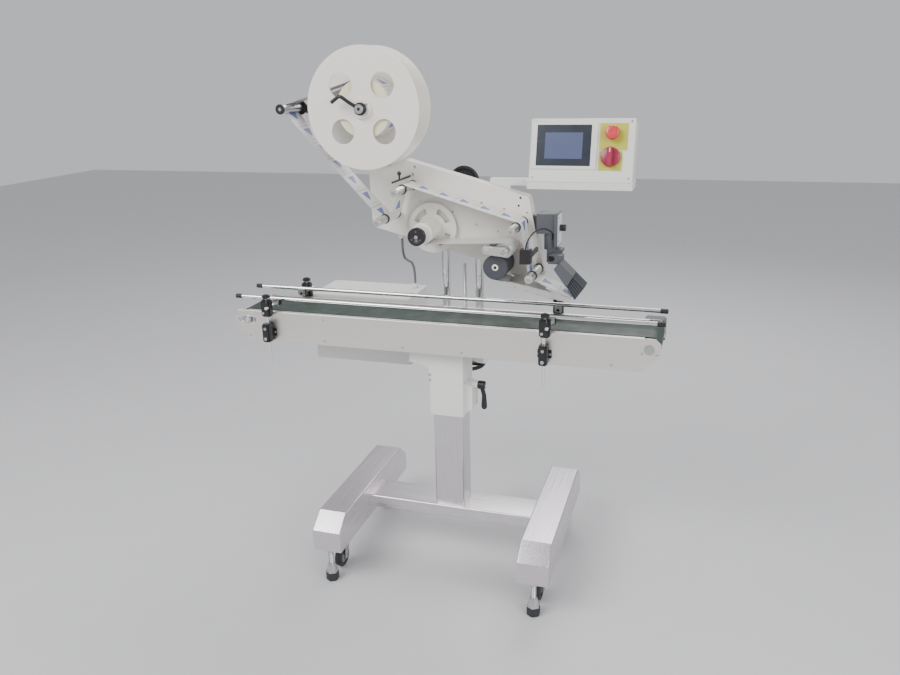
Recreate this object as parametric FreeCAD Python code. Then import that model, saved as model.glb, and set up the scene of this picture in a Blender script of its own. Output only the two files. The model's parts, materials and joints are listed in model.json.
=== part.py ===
"""Bottle labelling machine: a belt conveyor on a lifting column, with a top
labelling head over the belt.

Millimetres, +Z up, +X along the belt from the infeed to the outfeed, -Y to
the operator. Everything is drawn about the column's axis and moved at the
end, so that the origin is under the middle of the machine, on the floor.
"""
import FreeCAD
import Part
import math
import os

V = FreeCAD.Vector

# ---------------------------------------------------------------- fits
BELT_TOP_Z = 790.0        # working height, which every other height follows
PANEL_HEIGHT = 94.5
CONVEYOR_BOTTOM_Z = BELT_TOP_Z - PANEL_HEIGHT
HEAD_ABOVE_BELT = 115.0   # from the belt to the lowest edge of the head's plate
RUNNING = 0.05            # radial clearance of a shaft in its bore
SLIDING = 0.3             # gap between flat faces that slide on each other
WRAP_GAP = 0.3            # gap between a roller and the web or belt round it

# ---------------------------------------------------------------- base
FOOT_SPACING = 626.0      # between the centre lines of the two feet
FOOT_WIDTH = 90.0
FOOT_LENGTH = 560.0
FOOT_TOP_LENGTH = 454.0
FOOT_BOTTOM_Z = 109.0
FOOT_SIDE_HEIGHT = 65.0   # up to where the ends start to slope
FOOT_HEIGHT = 107.0
FOOT_SHEET = 3.0
FOOT_PAD = 8.0            # welded plates that take the stems and casters

BEAM_WIDTH = 111.0
BEAM_HEIGHT = 42.0
BEAM_TOP_BELOW_FOOT = 31.0
BEAM_WALL = 3.0

LEVEL_INSET = 21.0        # from a foot's end to its levelling stem
LEVEL_PAD_ACROSS = 36.0
LEVEL_PAD_HEIGHT = 32.0
LEVEL_CONE_HEIGHT = 24.0
LEVEL_STEM_R = 8.0
LEVEL_STEM_TOP = 30.0     # above the foot's bottom edge

CASTER_INSET = 113.0      # from a foot's end to its caster
CASTER_WHEEL_R = 34.0
CASTER_WHEEL_W = 22.0
CASTER_LIFT = 2.0         # the wheels hang clear of the floor when levelled
CASTER_TRAIL = 20.0
CASTER_FORK_SHEET = 2.5
CASTER_AXLE_R = 4.0
CASTER_HEAD_R = 24.0
CASTER_HEAD_H = 12.0

COLUMN_W = 92.0
COLUMN_D = 84.0
COLUMN_WALL = 4.0
COLUMN_CORNER = 7.0

# ---------------------------------------------------------------- sleeve
SLEEVE_W = 105.0
SLEEVE_D = 100.0
SLEEVE_HEIGHT = 102.0
SADDLE_HEIGHT = 105.0     # from the sleeve up to the conveyor
COLUMN_ENTRY = 50.0       # how far the column stands into the saddle
SADDLE_TOP_Z = CONVEYOR_BOTTOM_Z - 0.5
SLEEVE_TOP_Z = SADDLE_TOP_Z - SADDLE_HEIGHT
SLEEVE_BOTTOM_Z = SLEEVE_TOP_Z - SLEEVE_HEIGHT
COLUMN_TOP_Z = SLEEVE_TOP_Z + COLUMN_ENTRY
SADDLE_LID = 6.0
SADDLE_WING = 61.5        # how far the saddle reaches out to the left
SADDLE_WING_H = 43.0
GIB_W = 22.0
GIB_D = 60.0
GIB_BEVEL = 12.0
CLAMP_BELOW_TOP = 12.0     # from the sleeve's top down to the clamp's axis
CLAMP_STUD_R = 5.0
CLAMP_HUB_R = 13.0
CLAMP_HUB_L = 22.0
CLAMP_BOSS_L = 10.0
CLAMP_HANDLE = 74.0

# ---------------------------------------------------------------- conveyor
CONVEYOR_WIDTH = 184.0    # over the two side panels
PANEL_LEFT_X = -665.5
PANEL_RIGHT_X = 611.5
PANEL_T = 4.0
PANEL_TOP_BEVEL = 14.0
PANEL_END_BEVEL = 44.0
FLANGE_W = 14.0
FLANGE_T = 3.0
BELT_W = 144.0
BELT_T = 2.5
ROLLER_R = 27.0
ROLLER_AXLE_R = 7.5
DRIVE_X = 581.5
TAIL_X = -622.5
TAIL_TRAVEL = 22.0        # each way along the tension slot
BED_END_GAP = 5.0
BED_T = 3.0
BED_LIP = 16.0
MEMBER_W = 36.0
MEMBER_H = 20.0
MEMBER_XS = (-480.0, -240.0, 0.0, 240.0, 470.0)
BEARING_R = 21.0
BEARING_T = 9.0
MOTOR_R = 29.0
MOTOR_LENGTH = 150.0
CAP_R = 15.0
CAP_T = 3.0

# ---------------------------------------------------------------- guides
GUIDE_XS = {"front": (-545.0, 302.0), "rear": (-520.0, 300.0)}
GUIDE_ROD_R = 4.8
GUIDE_Y = 108.0           # the upright rods, in front of and behind the belt
GUIDE_ROD_BELOW = 160.0    # the rods reach down from the belt's level
GUIDE_BLOCK = (24.0, 33.0, 57.0)
GUIDE_BLOCK_Z = CONVEYOR_BOTTOM_Z + 5.5
GUIDE_PLATE = (40.0, 3.0, 24.0)
GUIDE_HEAD = (30.0, 24.0, 52.0)
GUIDE_ARM_R = 5.0
GUIDE_ARM_TAIL = 22.0     # the arm's free end beyond its rod
GUIDE_KNOB_R = 13.0
GUIDE_KNOB_H = 16.0
RAIL_R = 6.0
RAIL_ABOVE_BELT = 34.0
RAIL_ABOVE_ARM = 14.0
RAIL_Y = 62.0
RAIL_LEFT_X = -667.0
RAIL_RIGHT_X = 613.0
RAIL_CAP = 5.0
RAIL_CLIP = (22.0, 22.0, 24.0)

# ---------------------------------------------------------------- cabinet
CABINET_X = (-495.0, -165.0)
CABINET_Y = (98.0, 278.0)
CABINET_HEIGHT = 216.0
CABINET_TOP_Z = BELT_TOP_Z + 8.0
CABINET_SHEET = 2.0
CABINET_CORNER = 8.0
CABINET_RAIL_H = 40.0     # brackets between the cabinet and the side panel
GLAND_R = 9.0
GLAND_H = 16.0
GLAND_GRIP = 6.0          # how far a cable enters its gland

# ---------------------------------------------------------------- head lift
POST_SPACING = 106.0
POST_R = 13.0
POST_Y = 142.0
POST_BOTTOM_Z = CONVEYOR_BOTTOM_Z - 95.5
LIFT_BLOCK_W = 160.0
LIFT_BLOCK_D = 50.0
LIFT_BLOCK_H = 60.0
TIE_T = 15.0
TIE_D = 42.0
LIFT_SCREW_R = 5.0
LIFT_SCREW_X = 7.0
LIFT_SCREW_ABOVE_BELT = 124.0
LIFT_WHEEL_R = 60.0
CROSS_WHEEL_R = 47.0
WHEEL_RIM_R = 6.0
WHEEL_HUB_R = 13.0
CARRIAGE_W = 170.0
CARRIAGE_D = 42.0
CARRIAGE_UP = 145.0       # above the head plate's lowest edge
CARRIAGE_H = 85.0
CROSS_ROD_R = 8.0
CROSS_ROD_X = 22.0
CROSS_ROD_LENGTH = 96.0
CROSS_SCREW_R = 5.0
CROSS_SCREW_X = 0.0
CROSS_SCREW_UP = 20.0     # above the carriage

# ---------------------------------------------------------------- head
PLATE_Y = 55.0            # front face of the head's plate
PLATE_T = 4.0
HEAD_DEPTH = 40.0
HEAD_SHEET = 2.5
HEAD_COVER_T = 2.0
# Places on the head: x, and height above the lowest edge of its plate.
HEAD_SHAPE = (             # with the radius of each corner
    (-256.0, 357.0, 8.0),
    (223.0, 227.0, 8.0),
    (248.0, 105.0, 0.0),
    (272.0, 0.0, 10.0),
    (118.0, 0.0, 10.0),
    (105.0, 35.0, 12.0),
    (-252.0, 129.0, 14.0),
)
TOP_FLANGE_START_X = -140.0
TOP_FLANGE_RISE = 150.0   # the left side is open above this height
EAR_WIDTH = 84.0

WEB_W = 80.0
WEB_T = 0.6
REEL_AT = (-221.0, 473.0)
REEL_R = 165.0
REEL_T = 4.0
REEL_GAP = 88.0           # between the two discs
REEL_WINDOW_R = 34.0
REEL_WINDOW_PCD_R = 87.0
ROLL_R = 80.0
CORE_R = 38.0
SPINDLE_R = 12.5
REEL_HUB_R = 28.0

DANCER_PIVOT_AT = (-250.0, 387.0)
DANCER_AT = (-459.0, 474.0)
DANCER_ARM_T = 8.0
ROLLER_WEB_R = 11.5
ROLLER_TIP_Y = -108.0
PEEL_ROLLER_TIP_Y = -92.0
DANCER_TIP_Y = -76.0
COLLAR_R = 14.0
COLLAR_T = 5.0
PIN_R = 5.0
LOWER_LEFT_AT = (-171.0, 171.0)
UPPER_LEFT_AT = (-116.0, 255.0)
UPPER_RIGHT_AT = (209.0, 160.0)
PEEL_ROLLER_AT = (255.0, 28.0)

REWINDER_AT = (-60.0, 133.0)
REWINDER_DISC_R = 73.0
REWINDER_HUB_R = 30.0
REWINDER_KNOB_R = 25.0
REWINDER_KNOB_T = 16.0

FEED_AT = (150.0, 45.0)
FEED_R = 35.0
FEED_SHAFT_R = 8.0
NIP_R = 20.0
NIP_ANGLE = 60.0          # direction from the feed roller to the nip roller
NIP_PIVOT_AT = (130.0, 97.0)

PEEL_TIP_AT = (358.0, -30.0)
PEEL_HEEL_AT = (190.0, 8.0)
PEEL_T = 4.0
PEEL_SIDE_T = 4.0
PEEL_STRIP_H = 16.0

BRUSH_W = 72.0
SLIDE_BLOCK = (50.0, 54.0, 55.0)
SLIDE_FRONT_Y = 28.0
SLIDE_RISE = 60.0         # from the brush's pivot up to the block
SLIDE_RAIL = (10.0, 62.0, 92.0)
SLIDE_BUTTON = (9.0, 18.0)
CYLINDER_R = 20.0
CYLINDER_H = 45.0
SENSOR_AT = (236.0, 80.0)
SENSOR = (30.0, 24.0, 40.0)
SENSOR_SLOT = 16.0
BRUSH_PIVOT_AT = (300.0, 70.0)
HMI_W = 280.0
HMI_H = 168.0
HMI_D = 72.0
HMI_LEAN = 14.0           # degrees back from upright
HMI_X = 224.0
HMI_FOOT_Y = 40.0
ARM_UP = 252.0            # above the head plate's lowest edge
ARM_H = 20.0
ARM_LEFT_X = 100.0
ARM_SHEET = 3.0
STOP_R = 19.0
SWITCH_R = 26.0

# ------------------------------------------------------- worked-out places
HEAD_Z = BELT_TOP_Z + HEAD_ABOVE_BELT


def on_head(place):
    """Point of the head, measured up from the lowest edge of its plate."""
    return place[0], HEAD_Z + place[1]


HEAD_OUTLINE = [(*on_head(corner), corner[2]) for corner in HEAD_SHAPE]
REEL = on_head(REEL_AT)
DANCER_PIVOT = on_head(DANCER_PIVOT_AT)
DANCER = on_head(DANCER_AT)
LOWER_LEFT = on_head(LOWER_LEFT_AT)
UPPER_LEFT = on_head(UPPER_LEFT_AT)
UPPER_RIGHT = on_head(UPPER_RIGHT_AT)
PEEL_ROLLER = on_head(PEEL_ROLLER_AT)
REWINDER = on_head(REWINDER_AT)
FEED = on_head(FEED_AT)
NIP_PIVOT = on_head(NIP_PIVOT_AT)
PEEL_TIP = on_head(PEEL_TIP_AT)
PEEL_HEEL = on_head(PEEL_HEEL_AT)
BRUSH_PIVOT = on_head(BRUSH_PIVOT_AT)
SENSOR_PLACE = on_head(SENSOR_AT)
CLAMP_Z = SLEEVE_TOP_Z - CLAMP_BELOW_TOP
RAIL_Z = BELT_TOP_Z + RAIL_ABOVE_BELT
GUIDE_ARM_Z = RAIL_Z - RAIL_ABOVE_ARM
GUIDE_ROD_BOTTOM_Z = BELT_TOP_Z - GUIDE_ROD_BELOW
CABINET_Z = (CABINET_TOP_Z - CABINET_HEIGHT, CABINET_TOP_Z)
LIFT_BLOCK_Z = (CONVEYOR_BOTTOM_Z + 9.5, CONVEYOR_BOTTOM_Z + 9.5 + LIFT_BLOCK_H)
LIFT_SCREW_TOP_Z = BELT_TOP_Z + LIFT_SCREW_ABOVE_BELT
CARRIAGE_Z = (HEAD_Z + CARRIAGE_UP, HEAD_Z + CARRIAGE_UP + CARRIAGE_H)
CROSS_SCREW_Z = CARRIAGE_Z[1] + CROSS_SCREW_UP
ARM_Z = (HEAD_Z + ARM_UP, HEAD_Z + ARM_UP + ARM_H)
PANEL_Y = CONVEYOR_WIDTH / 2
AXLE_Z = BELT_TOP_Z - BELT_T - WRAP_GAP - ROLLER_R
FOOT_TOP_Z = FOOT_BOTTOM_Z + FOOT_HEIGHT
BEAM_TOP_Z = FOOT_TOP_Z - BEAM_TOP_BELOW_FOOT
LEVEL_Y = FOOT_LENGTH / 2 - LEVEL_INSET
CASTER_Y = FOOT_LENGTH / 2 - CASTER_INSET
COVER_Y = PLATE_Y + HEAD_DEPTH
NIP_DISTANCE = FEED_R + NIP_R + 2 * WRAP_GAP + WEB_T
NIP = (FEED[0] + NIP_DISTANCE * math.cos(math.radians(NIP_ANGLE)),
       FEED[1] + NIP_DISTANCE * math.sin(math.radians(NIP_ANGLE)))
ORIGIN = V(-(RAIL_LEFT_X - RAIL_CAP + RAIL_RIGHT_X + RAIL_CAP) / 2,
           0, 0)

parts = {}


def keep(name, *solids):
    """Store one node: a single solid, or a group of separate ones."""
    shape = solids[0] if len(solids) == 1 else Part.makeCompound(list(solids))
    shape.translate(ORIGIN)
    parts[name] = shape


# ------------------------------------------------------------ shape tools
def box(x0, x1, y0, y1, z0, z1):
    return Part.makeBox(x1 - x0, y1 - y0, z1 - z0, V(x0, y0, z0))


def rod_x(y, z, x0, x1, r):
    return Part.makeCylinder(r, x1 - x0, V(x0, y, z), V(1, 0, 0))


def rod_y(x, z, y0, y1, r):
    return Part.makeCylinder(r, y1 - y0, V(x, y0, z), V(0, 1, 0))


def rod_z(x, y, z0, z1, r):
    return Part.makeCylinder(r, z1 - z0, V(x, y, z0), V(0, 0, 1))


def fuse(first, *others):
    return first.multiFuse(list(others)).removeSplitter()


def outline(points, place):
    """Closed wire through (u, v, corner radius) points, set in space by place."""
    corners = []
    count = len(points)
    for i, (u, v, r) in enumerate(points):
        here = V(u, v, 0)
        before = V(points[i - 1][0], points[i - 1][1], 0) - here
        after = V(points[(i + 1) % count][0], points[(i + 1) % count][1], 0) - here
        if r <= 0:
            corners.append((here, None, here))
            continue
        before.normalize()
        after.normalize()
        half = before.getAngle(after) / 2
        reach = r / math.tan(half)
        inward = (before + after).normalize()
        middle = here + inward * (r / math.sin(half) - r)
        corners.append((here + before * reach, middle, here + after * reach))
    edges = []
    for i, (start, middle, end) in enumerate(corners):
        if middle is not None:
            edges.append(Part.Arc(place(start), place(middle), place(end)).toShape())
        following = corners[(i + 1) % count][0]
        if (following - end).Length > 1e-6:
            edges.append(Part.makeLine(place(end), place(following)))
    return Part.Wire(edges)


def square(points):
    """The same outline with sharp corners."""
    return [(p[0], p[1], p[2] if len(p) > 2 else 0.0) for p in points]


def plate_xz(points, y0, y1):
    wire = outline(square(points), lambda p: V(p.x, y0, p.y))
    return Part.Face(wire).extrude(V(0, y1 - y0, 0))


def plate_yz(points, x0, x1):
    wire = outline(square(points), lambda p: V(x0, p.x, p.y))
    return Part.Face(wire).extrude(V(x1 - x0, 0, 0))


def plate_xy(points, z0, z1):
    wire = outline(square(points), lambda p: V(p.x, p.y, z0))
    return Part.Face(wire).extrude(V(0, 0, z1 - z0))


def rounded_rect(w, d, r):
    return [(-w / 2, -d / 2, r), (w / 2, -d / 2, r), (w / 2, d / 2, r), (-w / 2, d / 2, r)]


def slot_y(x, z, length, r, y0, y1):
    """A slot along X, cut through along Y."""
    half = length / 2
    points = [(x - half, z - r, r), (x + half, z - r, r), (x + half, z + r, r), (x - half, z + r, r)]
    points = [(u, v, k * 0.999) for u, v, k in points]
    return plate_xz(points, y0, y1)


def revolve_y(x, z, profile):
    """Turned part about an axis along Y; profile is (radius, y) points."""
    points = [V(x + r, y, z) for r, y in profile]
    wire = Part.makePolygon(points + [points[0]])
    return Part.Face(wire).revolve(V(x, 0, z), V(0, 1, 0), 360)


def revolve_z(x, y, profile):
    """Turned part about an axis along Z; profile is (radius, z) points."""
    points = [V(x + r, y, z) for r, z in profile]
    wire = Part.makePolygon(points + [points[0]])
    return Part.Face(wire).revolve(V(x, y, 0), V(0, 0, 1), 360)


def mirror_y(shape):
    return shape.mirror(V(0, 0, 0), V(0, 1, 0))


# ------------------------------------------------------------------ base
def foot(x):
    """Folded stainless foot, open underneath, with its welded pads."""
    top = FOOT_TOP_LENGTH / 2
    end = FOOT_LENGTH / 2
    shoulder = FOOT_BOTTOM_Z + FOOT_SIDE_HEIGHT
    profile = [(-end, FOOT_BOTTOM_Z), (end, FOOT_BOTTOM_Z), (end, shoulder),
               (top, FOOT_TOP_Z), (-top, FOOT_TOP_Z), (-end, shoulder)]
    body = plate_yz(profile, x - FOOT_WIDTH / 2, x + FOOT_WIDTH / 2)
    body = body.makeFillet(4.0, [e for e in body.Edges if abs(e.CenterOfMass.x - x) > 1
                                 and e.CenterOfMass.z > FOOT_BOTTOM_Z + 40])
    s = FOOT_SHEET
    inner = [(-end + s, FOOT_BOTTOM_Z - 1), (end - s, FOOT_BOTTOM_Z - 1), (end - s, shoulder - 1),
             (top - 1, FOOT_TOP_Z - s), (-top + 1, FOOT_TOP_Z - s), (-end + s, shoulder - 1)]
    body = body.cut(plate_yz(inner, x - FOOT_WIDTH / 2 + s, x + FOOT_WIDTH / 2 - s))
    half = FOOT_WIDTH / 2 - s
    for y in (-LEVEL_Y, -CASTER_Y, CASTER_Y, LEVEL_Y):
        reach = LEVEL_INSET - s if abs(y) == LEVEL_Y else CASTER_HEAD_R + 8
        pad = box(x - half, x + half, y - reach, y + reach, FOOT_BOTTOM_Z, FOOT_BOTTOM_Z + FOOT_PAD)
        body = body.fuse(pad)
    for y in (-LEVEL_Y, LEVEL_Y):
        body = body.cut(rod_z(x, y, FOOT_BOTTOM_Z - 1, FOOT_BOTTOM_Z + FOOT_PAD + 1,
                              LEVEL_STEM_R + RUNNING))
    return body.removeSplitter()


def levelling_foot(x, y):
    """Rubber hexagon pad, tapered nut and threaded stem."""
    across = LEVEL_PAD_ACROSS / 2 / math.cos(math.pi / 6)
    hexagon = [(x + across * math.cos(math.radians(60 * i + 30)),
                y + across * math.sin(math.radians(60 * i + 30))) for i in range(6)]
    pad = plate_xy(hexagon, 0, LEVEL_PAD_HEIGHT)
    cone_top = LEVEL_PAD_HEIGHT + LEVEL_CONE_HEIGHT
    cone = Part.makeCone(LEVEL_PAD_ACROSS / 2 - 1, LEVEL_STEM_R + 3, LEVEL_CONE_HEIGHT,
                         V(x, y, LEVEL_PAD_HEIGHT))
    stem = rod_z(x, y, cone_top, FOOT_BOTTOM_Z + LEVEL_STEM_TOP, LEVEL_STEM_R)
    return fuse(pad, cone, stem)


def caster(x, y):
    """Swivel head with its fork, and the wheel between the fork's legs."""
    turn = math.copysign(90, y)
    axle_x = x + CASTER_TRAIL
    axle_z = CASTER_LIFT + CASTER_WHEEL_R
    top = FOOT_BOTTOM_Z - SLIDING
    bridge = top - CASTER_HEAD_H
    inner = CASTER_WHEEL_W / 2 + 1.5
    outer = inner + CASTER_FORK_SHEET
    head = revolve_z(x, y, [(0, bridge - 1), (CASTER_HEAD_R, bridge - 1), (CASTER_HEAD_R, bridge + 4),
                            (CASTER_HEAD_R - 5, top), (0, top)])
    leg = [(x - 18, bridge, 3), (x + 18, bridge, 3), (axle_x + 10, axle_z - 10, 8),
           (axle_x - 10, axle_z - 10, 8)]
    legs = plate_xz(leg, y - outer, y + outer).cut(
        box(x - 60, x + 80, y - inner, y + inner, 0, bridge - CASTER_FORK_SHEET))
    axle = rod_y(axle_x, axle_z, y - outer - 3, y + outer + 3, CASTER_AXLE_R)
    fork = fuse(head, legs, axle)
    half = CASTER_WHEEL_W / 2
    wheel = revolve_y(axle_x, axle_z, [
        (CASTER_AXLE_R + RUNNING, y - half - 1), (9, y - half - 1), (9, y - half + 4),
        (CASTER_WHEEL_R - 7, y - half + 4), (CASTER_WHEEL_R - 6, y - half),
        (CASTER_WHEEL_R - 2, y - half), (CASTER_WHEEL_R, y - half + 3),
        (CASTER_WHEEL_R, y + half - 3), (CASTER_WHEEL_R - 2, y + half),
        (CASTER_WHEEL_R - 6, y + half), (CASTER_WHEEL_R - 7, y + half - 4),
        (9, y + half - 4), (9, y + half + 1), (CASTER_AXLE_R + RUNNING, y + half + 1)])
    for shape in (fork, wheel):
        shape.rotate(V(x, y, 0), V(0, 0, 1), turn)
    return fork, wheel


def build_base():
    for side, x in (("left", -FOOT_SPACING / 2), ("right", FOOT_SPACING / 2)):
        keep(side + "_foot", foot(x))
        for end, y in (("front", -CASTER_Y), ("rear", CASTER_Y)):
            fork, wheel = caster(x, y)
            keep("caster_fork_%s_%s" % (end, side), fork)
            keep("caster_wheel_%s_%s" % (end, side), wheel)
    keep("levelling_feet", *[levelling_foot(x, y) for x in (-FOOT_SPACING / 2, FOOT_SPACING / 2)
                             for y in (-LEVEL_Y, LEVEL_Y)])
    reach = FOOT_SPACING / 2 - FOOT_WIDTH / 2
    beam = box(-reach, reach, -BEAM_WIDTH / 2, BEAM_WIDTH / 2, BEAM_TOP_Z - BEAM_HEIGHT, BEAM_TOP_Z)
    beam = beam.makeFillet(5.0, [e for e in beam.Edges if e.Length > 2 * reach - 1])
    w = BEAM_WALL
    hollow = box(-reach - 1, reach + 1, -BEAM_WIDTH / 2 + w, BEAM_WIDTH / 2 - w,
                 BEAM_TOP_Z - BEAM_HEIGHT + w, BEAM_TOP_Z - w)
    keep("cross_beam", beam.cut(hollow))
    outer = plate_xy(rounded_rect(COLUMN_W, COLUMN_D, COLUMN_CORNER), BEAM_TOP_Z, COLUMN_TOP_Z)
    inner = plate_xy(rounded_rect(COLUMN_W - 2 * COLUMN_WALL, COLUMN_D - 2 * COLUMN_WALL,
                                  COLUMN_CORNER - COLUMN_WALL), BEAM_TOP_Z - 1, COLUMN_TOP_Z + 1)
    keep("column_tube", outer.cut(inner))


# ---------------------------------------------------------------- sleeve
def column_hole(z0, z1):
    gap = SLIDING
    return plate_xy(rounded_rect(COLUMN_W + 2 * gap, COLUMN_D + 2 * gap, COLUMN_CORNER), z0, z1)


def build_sleeve():
    top = SLEEVE_TOP_Z
    sleeve = plate_xy(rounded_rect(SLEEVE_W, SLEEVE_D, 4), SLEEVE_BOTTOM_Z, top)
    side = SLEEVE_W / 2
    low = SLEEVE_BOTTOM_Z + 8
    gib = [(side - 1, low), (side + GIB_W, low + GIB_BEVEL), (side + GIB_W, top - GIB_BEVEL),
           (side - 1, top)]
    sleeve = sleeve.fuse(plate_xz(gib, -GIB_D / 2, GIB_D / 2))
    boss = rod_x(0, CLAMP_Z, side, side + GIB_W + CLAMP_BOSS_L, CLAMP_HUB_R - 1)
    sleeve = fuse(sleeve, boss)
    sleeve = sleeve.cut(column_hole(SLEEVE_BOTTOM_Z - 1, top + 1))
    face = side + GIB_W + CLAMP_BOSS_L
    sleeve = sleeve.cut(rod_x(0, CLAMP_Z, COLUMN_W / 2, face + 1, CLAMP_STUD_R + RUNNING))
    keep("column_sleeve", sleeve)

    half = SLEEVE_W / 2
    wing = -half - SADDLE_WING
    shape = [(-half, top), (half, top), (half, SADDLE_TOP_Z), (wing, SADDLE_TOP_Z),
             (wing, SADDLE_TOP_Z - SADDLE_WING_H), (-half - 12, SADDLE_TOP_Z - SADDLE_WING_H - 7),
             (-half, SADDLE_TOP_Z - SADDLE_WING_H - 18)]
    saddle = plate_xz(shape, -SLEEVE_D / 2, SLEEVE_D / 2)
    pocket = box(wing + 5, -half - 5, -SLEEVE_D / 2 + 5, SLEEVE_D / 2 + 1,
                 SADDLE_TOP_Z - SADDLE_WING_H + 5, SADDLE_TOP_Z - 5)
    saddle = saddle.cut(pocket).cut(column_hole(top - 1, SADDLE_TOP_Z - SADDLE_LID))
    keep("conveyor_saddle", saddle)

    hub_start = face + SLIDING
    hub_end = hub_start + CLAMP_HUB_L
    hub = rod_x(0, CLAMP_Z, hub_start, hub_end, CLAMP_HUB_R)
    stud = rod_x(0, CLAMP_Z, COLUMN_W / 2 + SLIDING, hub_start + 1, CLAMP_STUD_R)
    middle = hub_end - 9
    arm = Part.makeCone(8.0, 6.0, 22, V(middle, 0, CLAMP_Z - 6), V(0.25, 0, -1))
    grip_top = CLAMP_Z - 24
    grip = Part.makeCone(6.5, 9.0, CLAMP_HANDLE - 28, V(middle + 5, 0, grip_top), V(0, 0, -1))
    tip = Part.makeSphere(9.0, V(middle + 5, 0, grip_top - CLAMP_HANDLE + 28))
    keep("column_clamp_lever", fuse(hub, stud, arm, grip, tip))


# -------------------------------------------------------------- conveyor
def side_panel():
    """Front panel: a folded plate with bevelled ends and inward flanges."""
    x0, x1 = PANEL_LEFT_X, PANEL_RIGHT_X
    low, high = CONVEYOR_BOTTOM_Z, BELT_TOP_Z
    a, b = PANEL_TOP_BEVEL, PANEL_END_BEVEL
    shape = [(x0 + b, low), (x1 - b, low), (x1, low + b), (x1, high - a), (x1 - a, high),
             (x0 + a, high), (x0, high - a), (x0, low + b)]
    inner = -PANEL_Y + PANEL_T
    panel = plate_xz(shape, -PANEL_Y, inner)
    lip = -BELT_W / 2 - (PANEL_Y - FLANGE_W - BELT_W / 2)
    top = box(x0 + b, x1 - b, inner - 1, lip, high - FLANGE_T, high)
    bottom = box(x0 + b, x1 - b, inner - 1, inner + 18, low, low + FLANGE_T)
    panel = fuse(panel, top, bottom)
    edge = [e for e in panel.Edges if e.Length > 900 and abs(e.CenterOfMass.y + PANEL_Y) < 0.1]
    panel = panel.makeFillet(2.0, edge)
    panel = panel.cut(rod_y(DRIVE_X, AXLE_Z, -PANEL_Y - 1, inner + 1, ROLLER_AXLE_R + 1))
    slot = slot_y(TAIL_X, AXLE_Z, 2 * (TAIL_TRAVEL + ROLLER_AXLE_R), ROLLER_AXLE_R + 0.5,
                  -PANEL_Y - 1, inner + 1)
    return panel.cut(slot)


def belt_loop(x0, x1, z, r):
    """Stadium outline round the two end rollers."""
    top = Part.makeLine(V(x1, 0, z + r), V(x0, 0, z + r))
    left = Part.Arc(V(x0, 0, z + r), V(x0 - r, 0, z), V(x0, 0, z - r)).toShape()
    bottom = Part.makeLine(V(x0, 0, z - r), V(x1, 0, z - r))
    right = Part.Arc(V(x1, 0, z - r), V(x1 + r, 0, z), V(x1, 0, z + r)).toShape()
    return Part.Face(Part.Wire([top, left, bottom, right]))


def end_roller(x, y_end):
    half = BELT_W / 2
    crown = 0.4
    body = revolve_y(x, AXLE_Z, [(0, -half), (ROLLER_R - crown, -half), (ROLLER_R, -half / 2),
                                 (ROLLER_R, half / 2), (ROLLER_R - crown, half), (0, half)])
    return fuse(body, rod_y(x, AXLE_Z, -y_end, y_end, ROLLER_AXLE_R))


def build_conveyor():
    front = side_panel()
    keep("rear_side_panel", mirror_y(front))
    keep("front_side_panel", front)

    outer = belt_loop(TAIL_X, DRIVE_X, AXLE_Z, ROLLER_R + WRAP_GAP + BELT_T)
    inner = belt_loop(TAIL_X, DRIVE_X, AXLE_Z, ROLLER_R + WRAP_GAP)
    belt = outer.cut(inner).extrude(V(0, BELT_W, 0))
    belt.translate(V(0, -BELT_W / 2, 0))
    keep("conveyor_belt", belt)

    y_end = PANEL_Y + 1
    keep("drive_drum", end_roller(DRIVE_X, y_end))
    keep("tail_roller", end_roller(TAIL_X, y_end))

    inside = PANEL_Y - PANEL_T
    bed_top = BELT_TOP_Z - FLANGE_T
    x0 = TAIL_X + ROLLER_R + BED_END_GAP
    x1 = DRIVE_X - ROLLER_R - BED_END_GAP
    bed = box(x0, x1, -inside, inside, bed_top - BED_T, bed_top)
    for y in (-inside, inside - BED_T):
        bed = bed.fuse(box(x0, x1, y, y + BED_T, bed_top - BED_LIP, bed_top))
    members = [box(x - MEMBER_W / 2, x + MEMBER_W / 2, -inside, inside, CONVEYOR_BOTTOM_Z + FLANGE_T,
                   CONVEYOR_BOTTOM_Z + FLANGE_T + MEMBER_H) for x in MEMBER_XS]
    plate = box(-half_saddle(), half_saddle() - SADDLE_WING, -inside + 18, inside - 18,
                SADDLE_TOP_Z, CONVEYOR_BOTTOM_Z + FLANGE_T)
    members[len(MEMBER_XS) // 2] = fuse(members[len(MEMBER_XS) // 2], plate)
    keep("slider_bed", bed.removeSplitter(), *members)

    gearbox = box(DRIVE_X - 30, DRIVE_X + 30, PANEL_Y, PANEL_Y + 52, AXLE_Z - 36, AXLE_Z + 26)
    gearbox = gearbox.makeFillet(5.0, [e for e in gearbox.Edges if abs(e.Length - 52) < 0.01])
    gearbox = gearbox.cut(rod_y(DRIVE_X, AXLE_Z, PANEL_Y - 1, PANEL_Y + 10, ROLLER_AXLE_R + RUNNING))
    motor = rod_x(PANEL_Y + MOTOR_R + 2, AXLE_Z - 8, DRIVE_X - MOTOR_LENGTH, DRIVE_X - 29, MOTOR_R)
    keep("belt_gearmotor", fuse(gearbox, motor))


def half_saddle():
    return SLEEVE_W / 2 + SADDLE_WING


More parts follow.
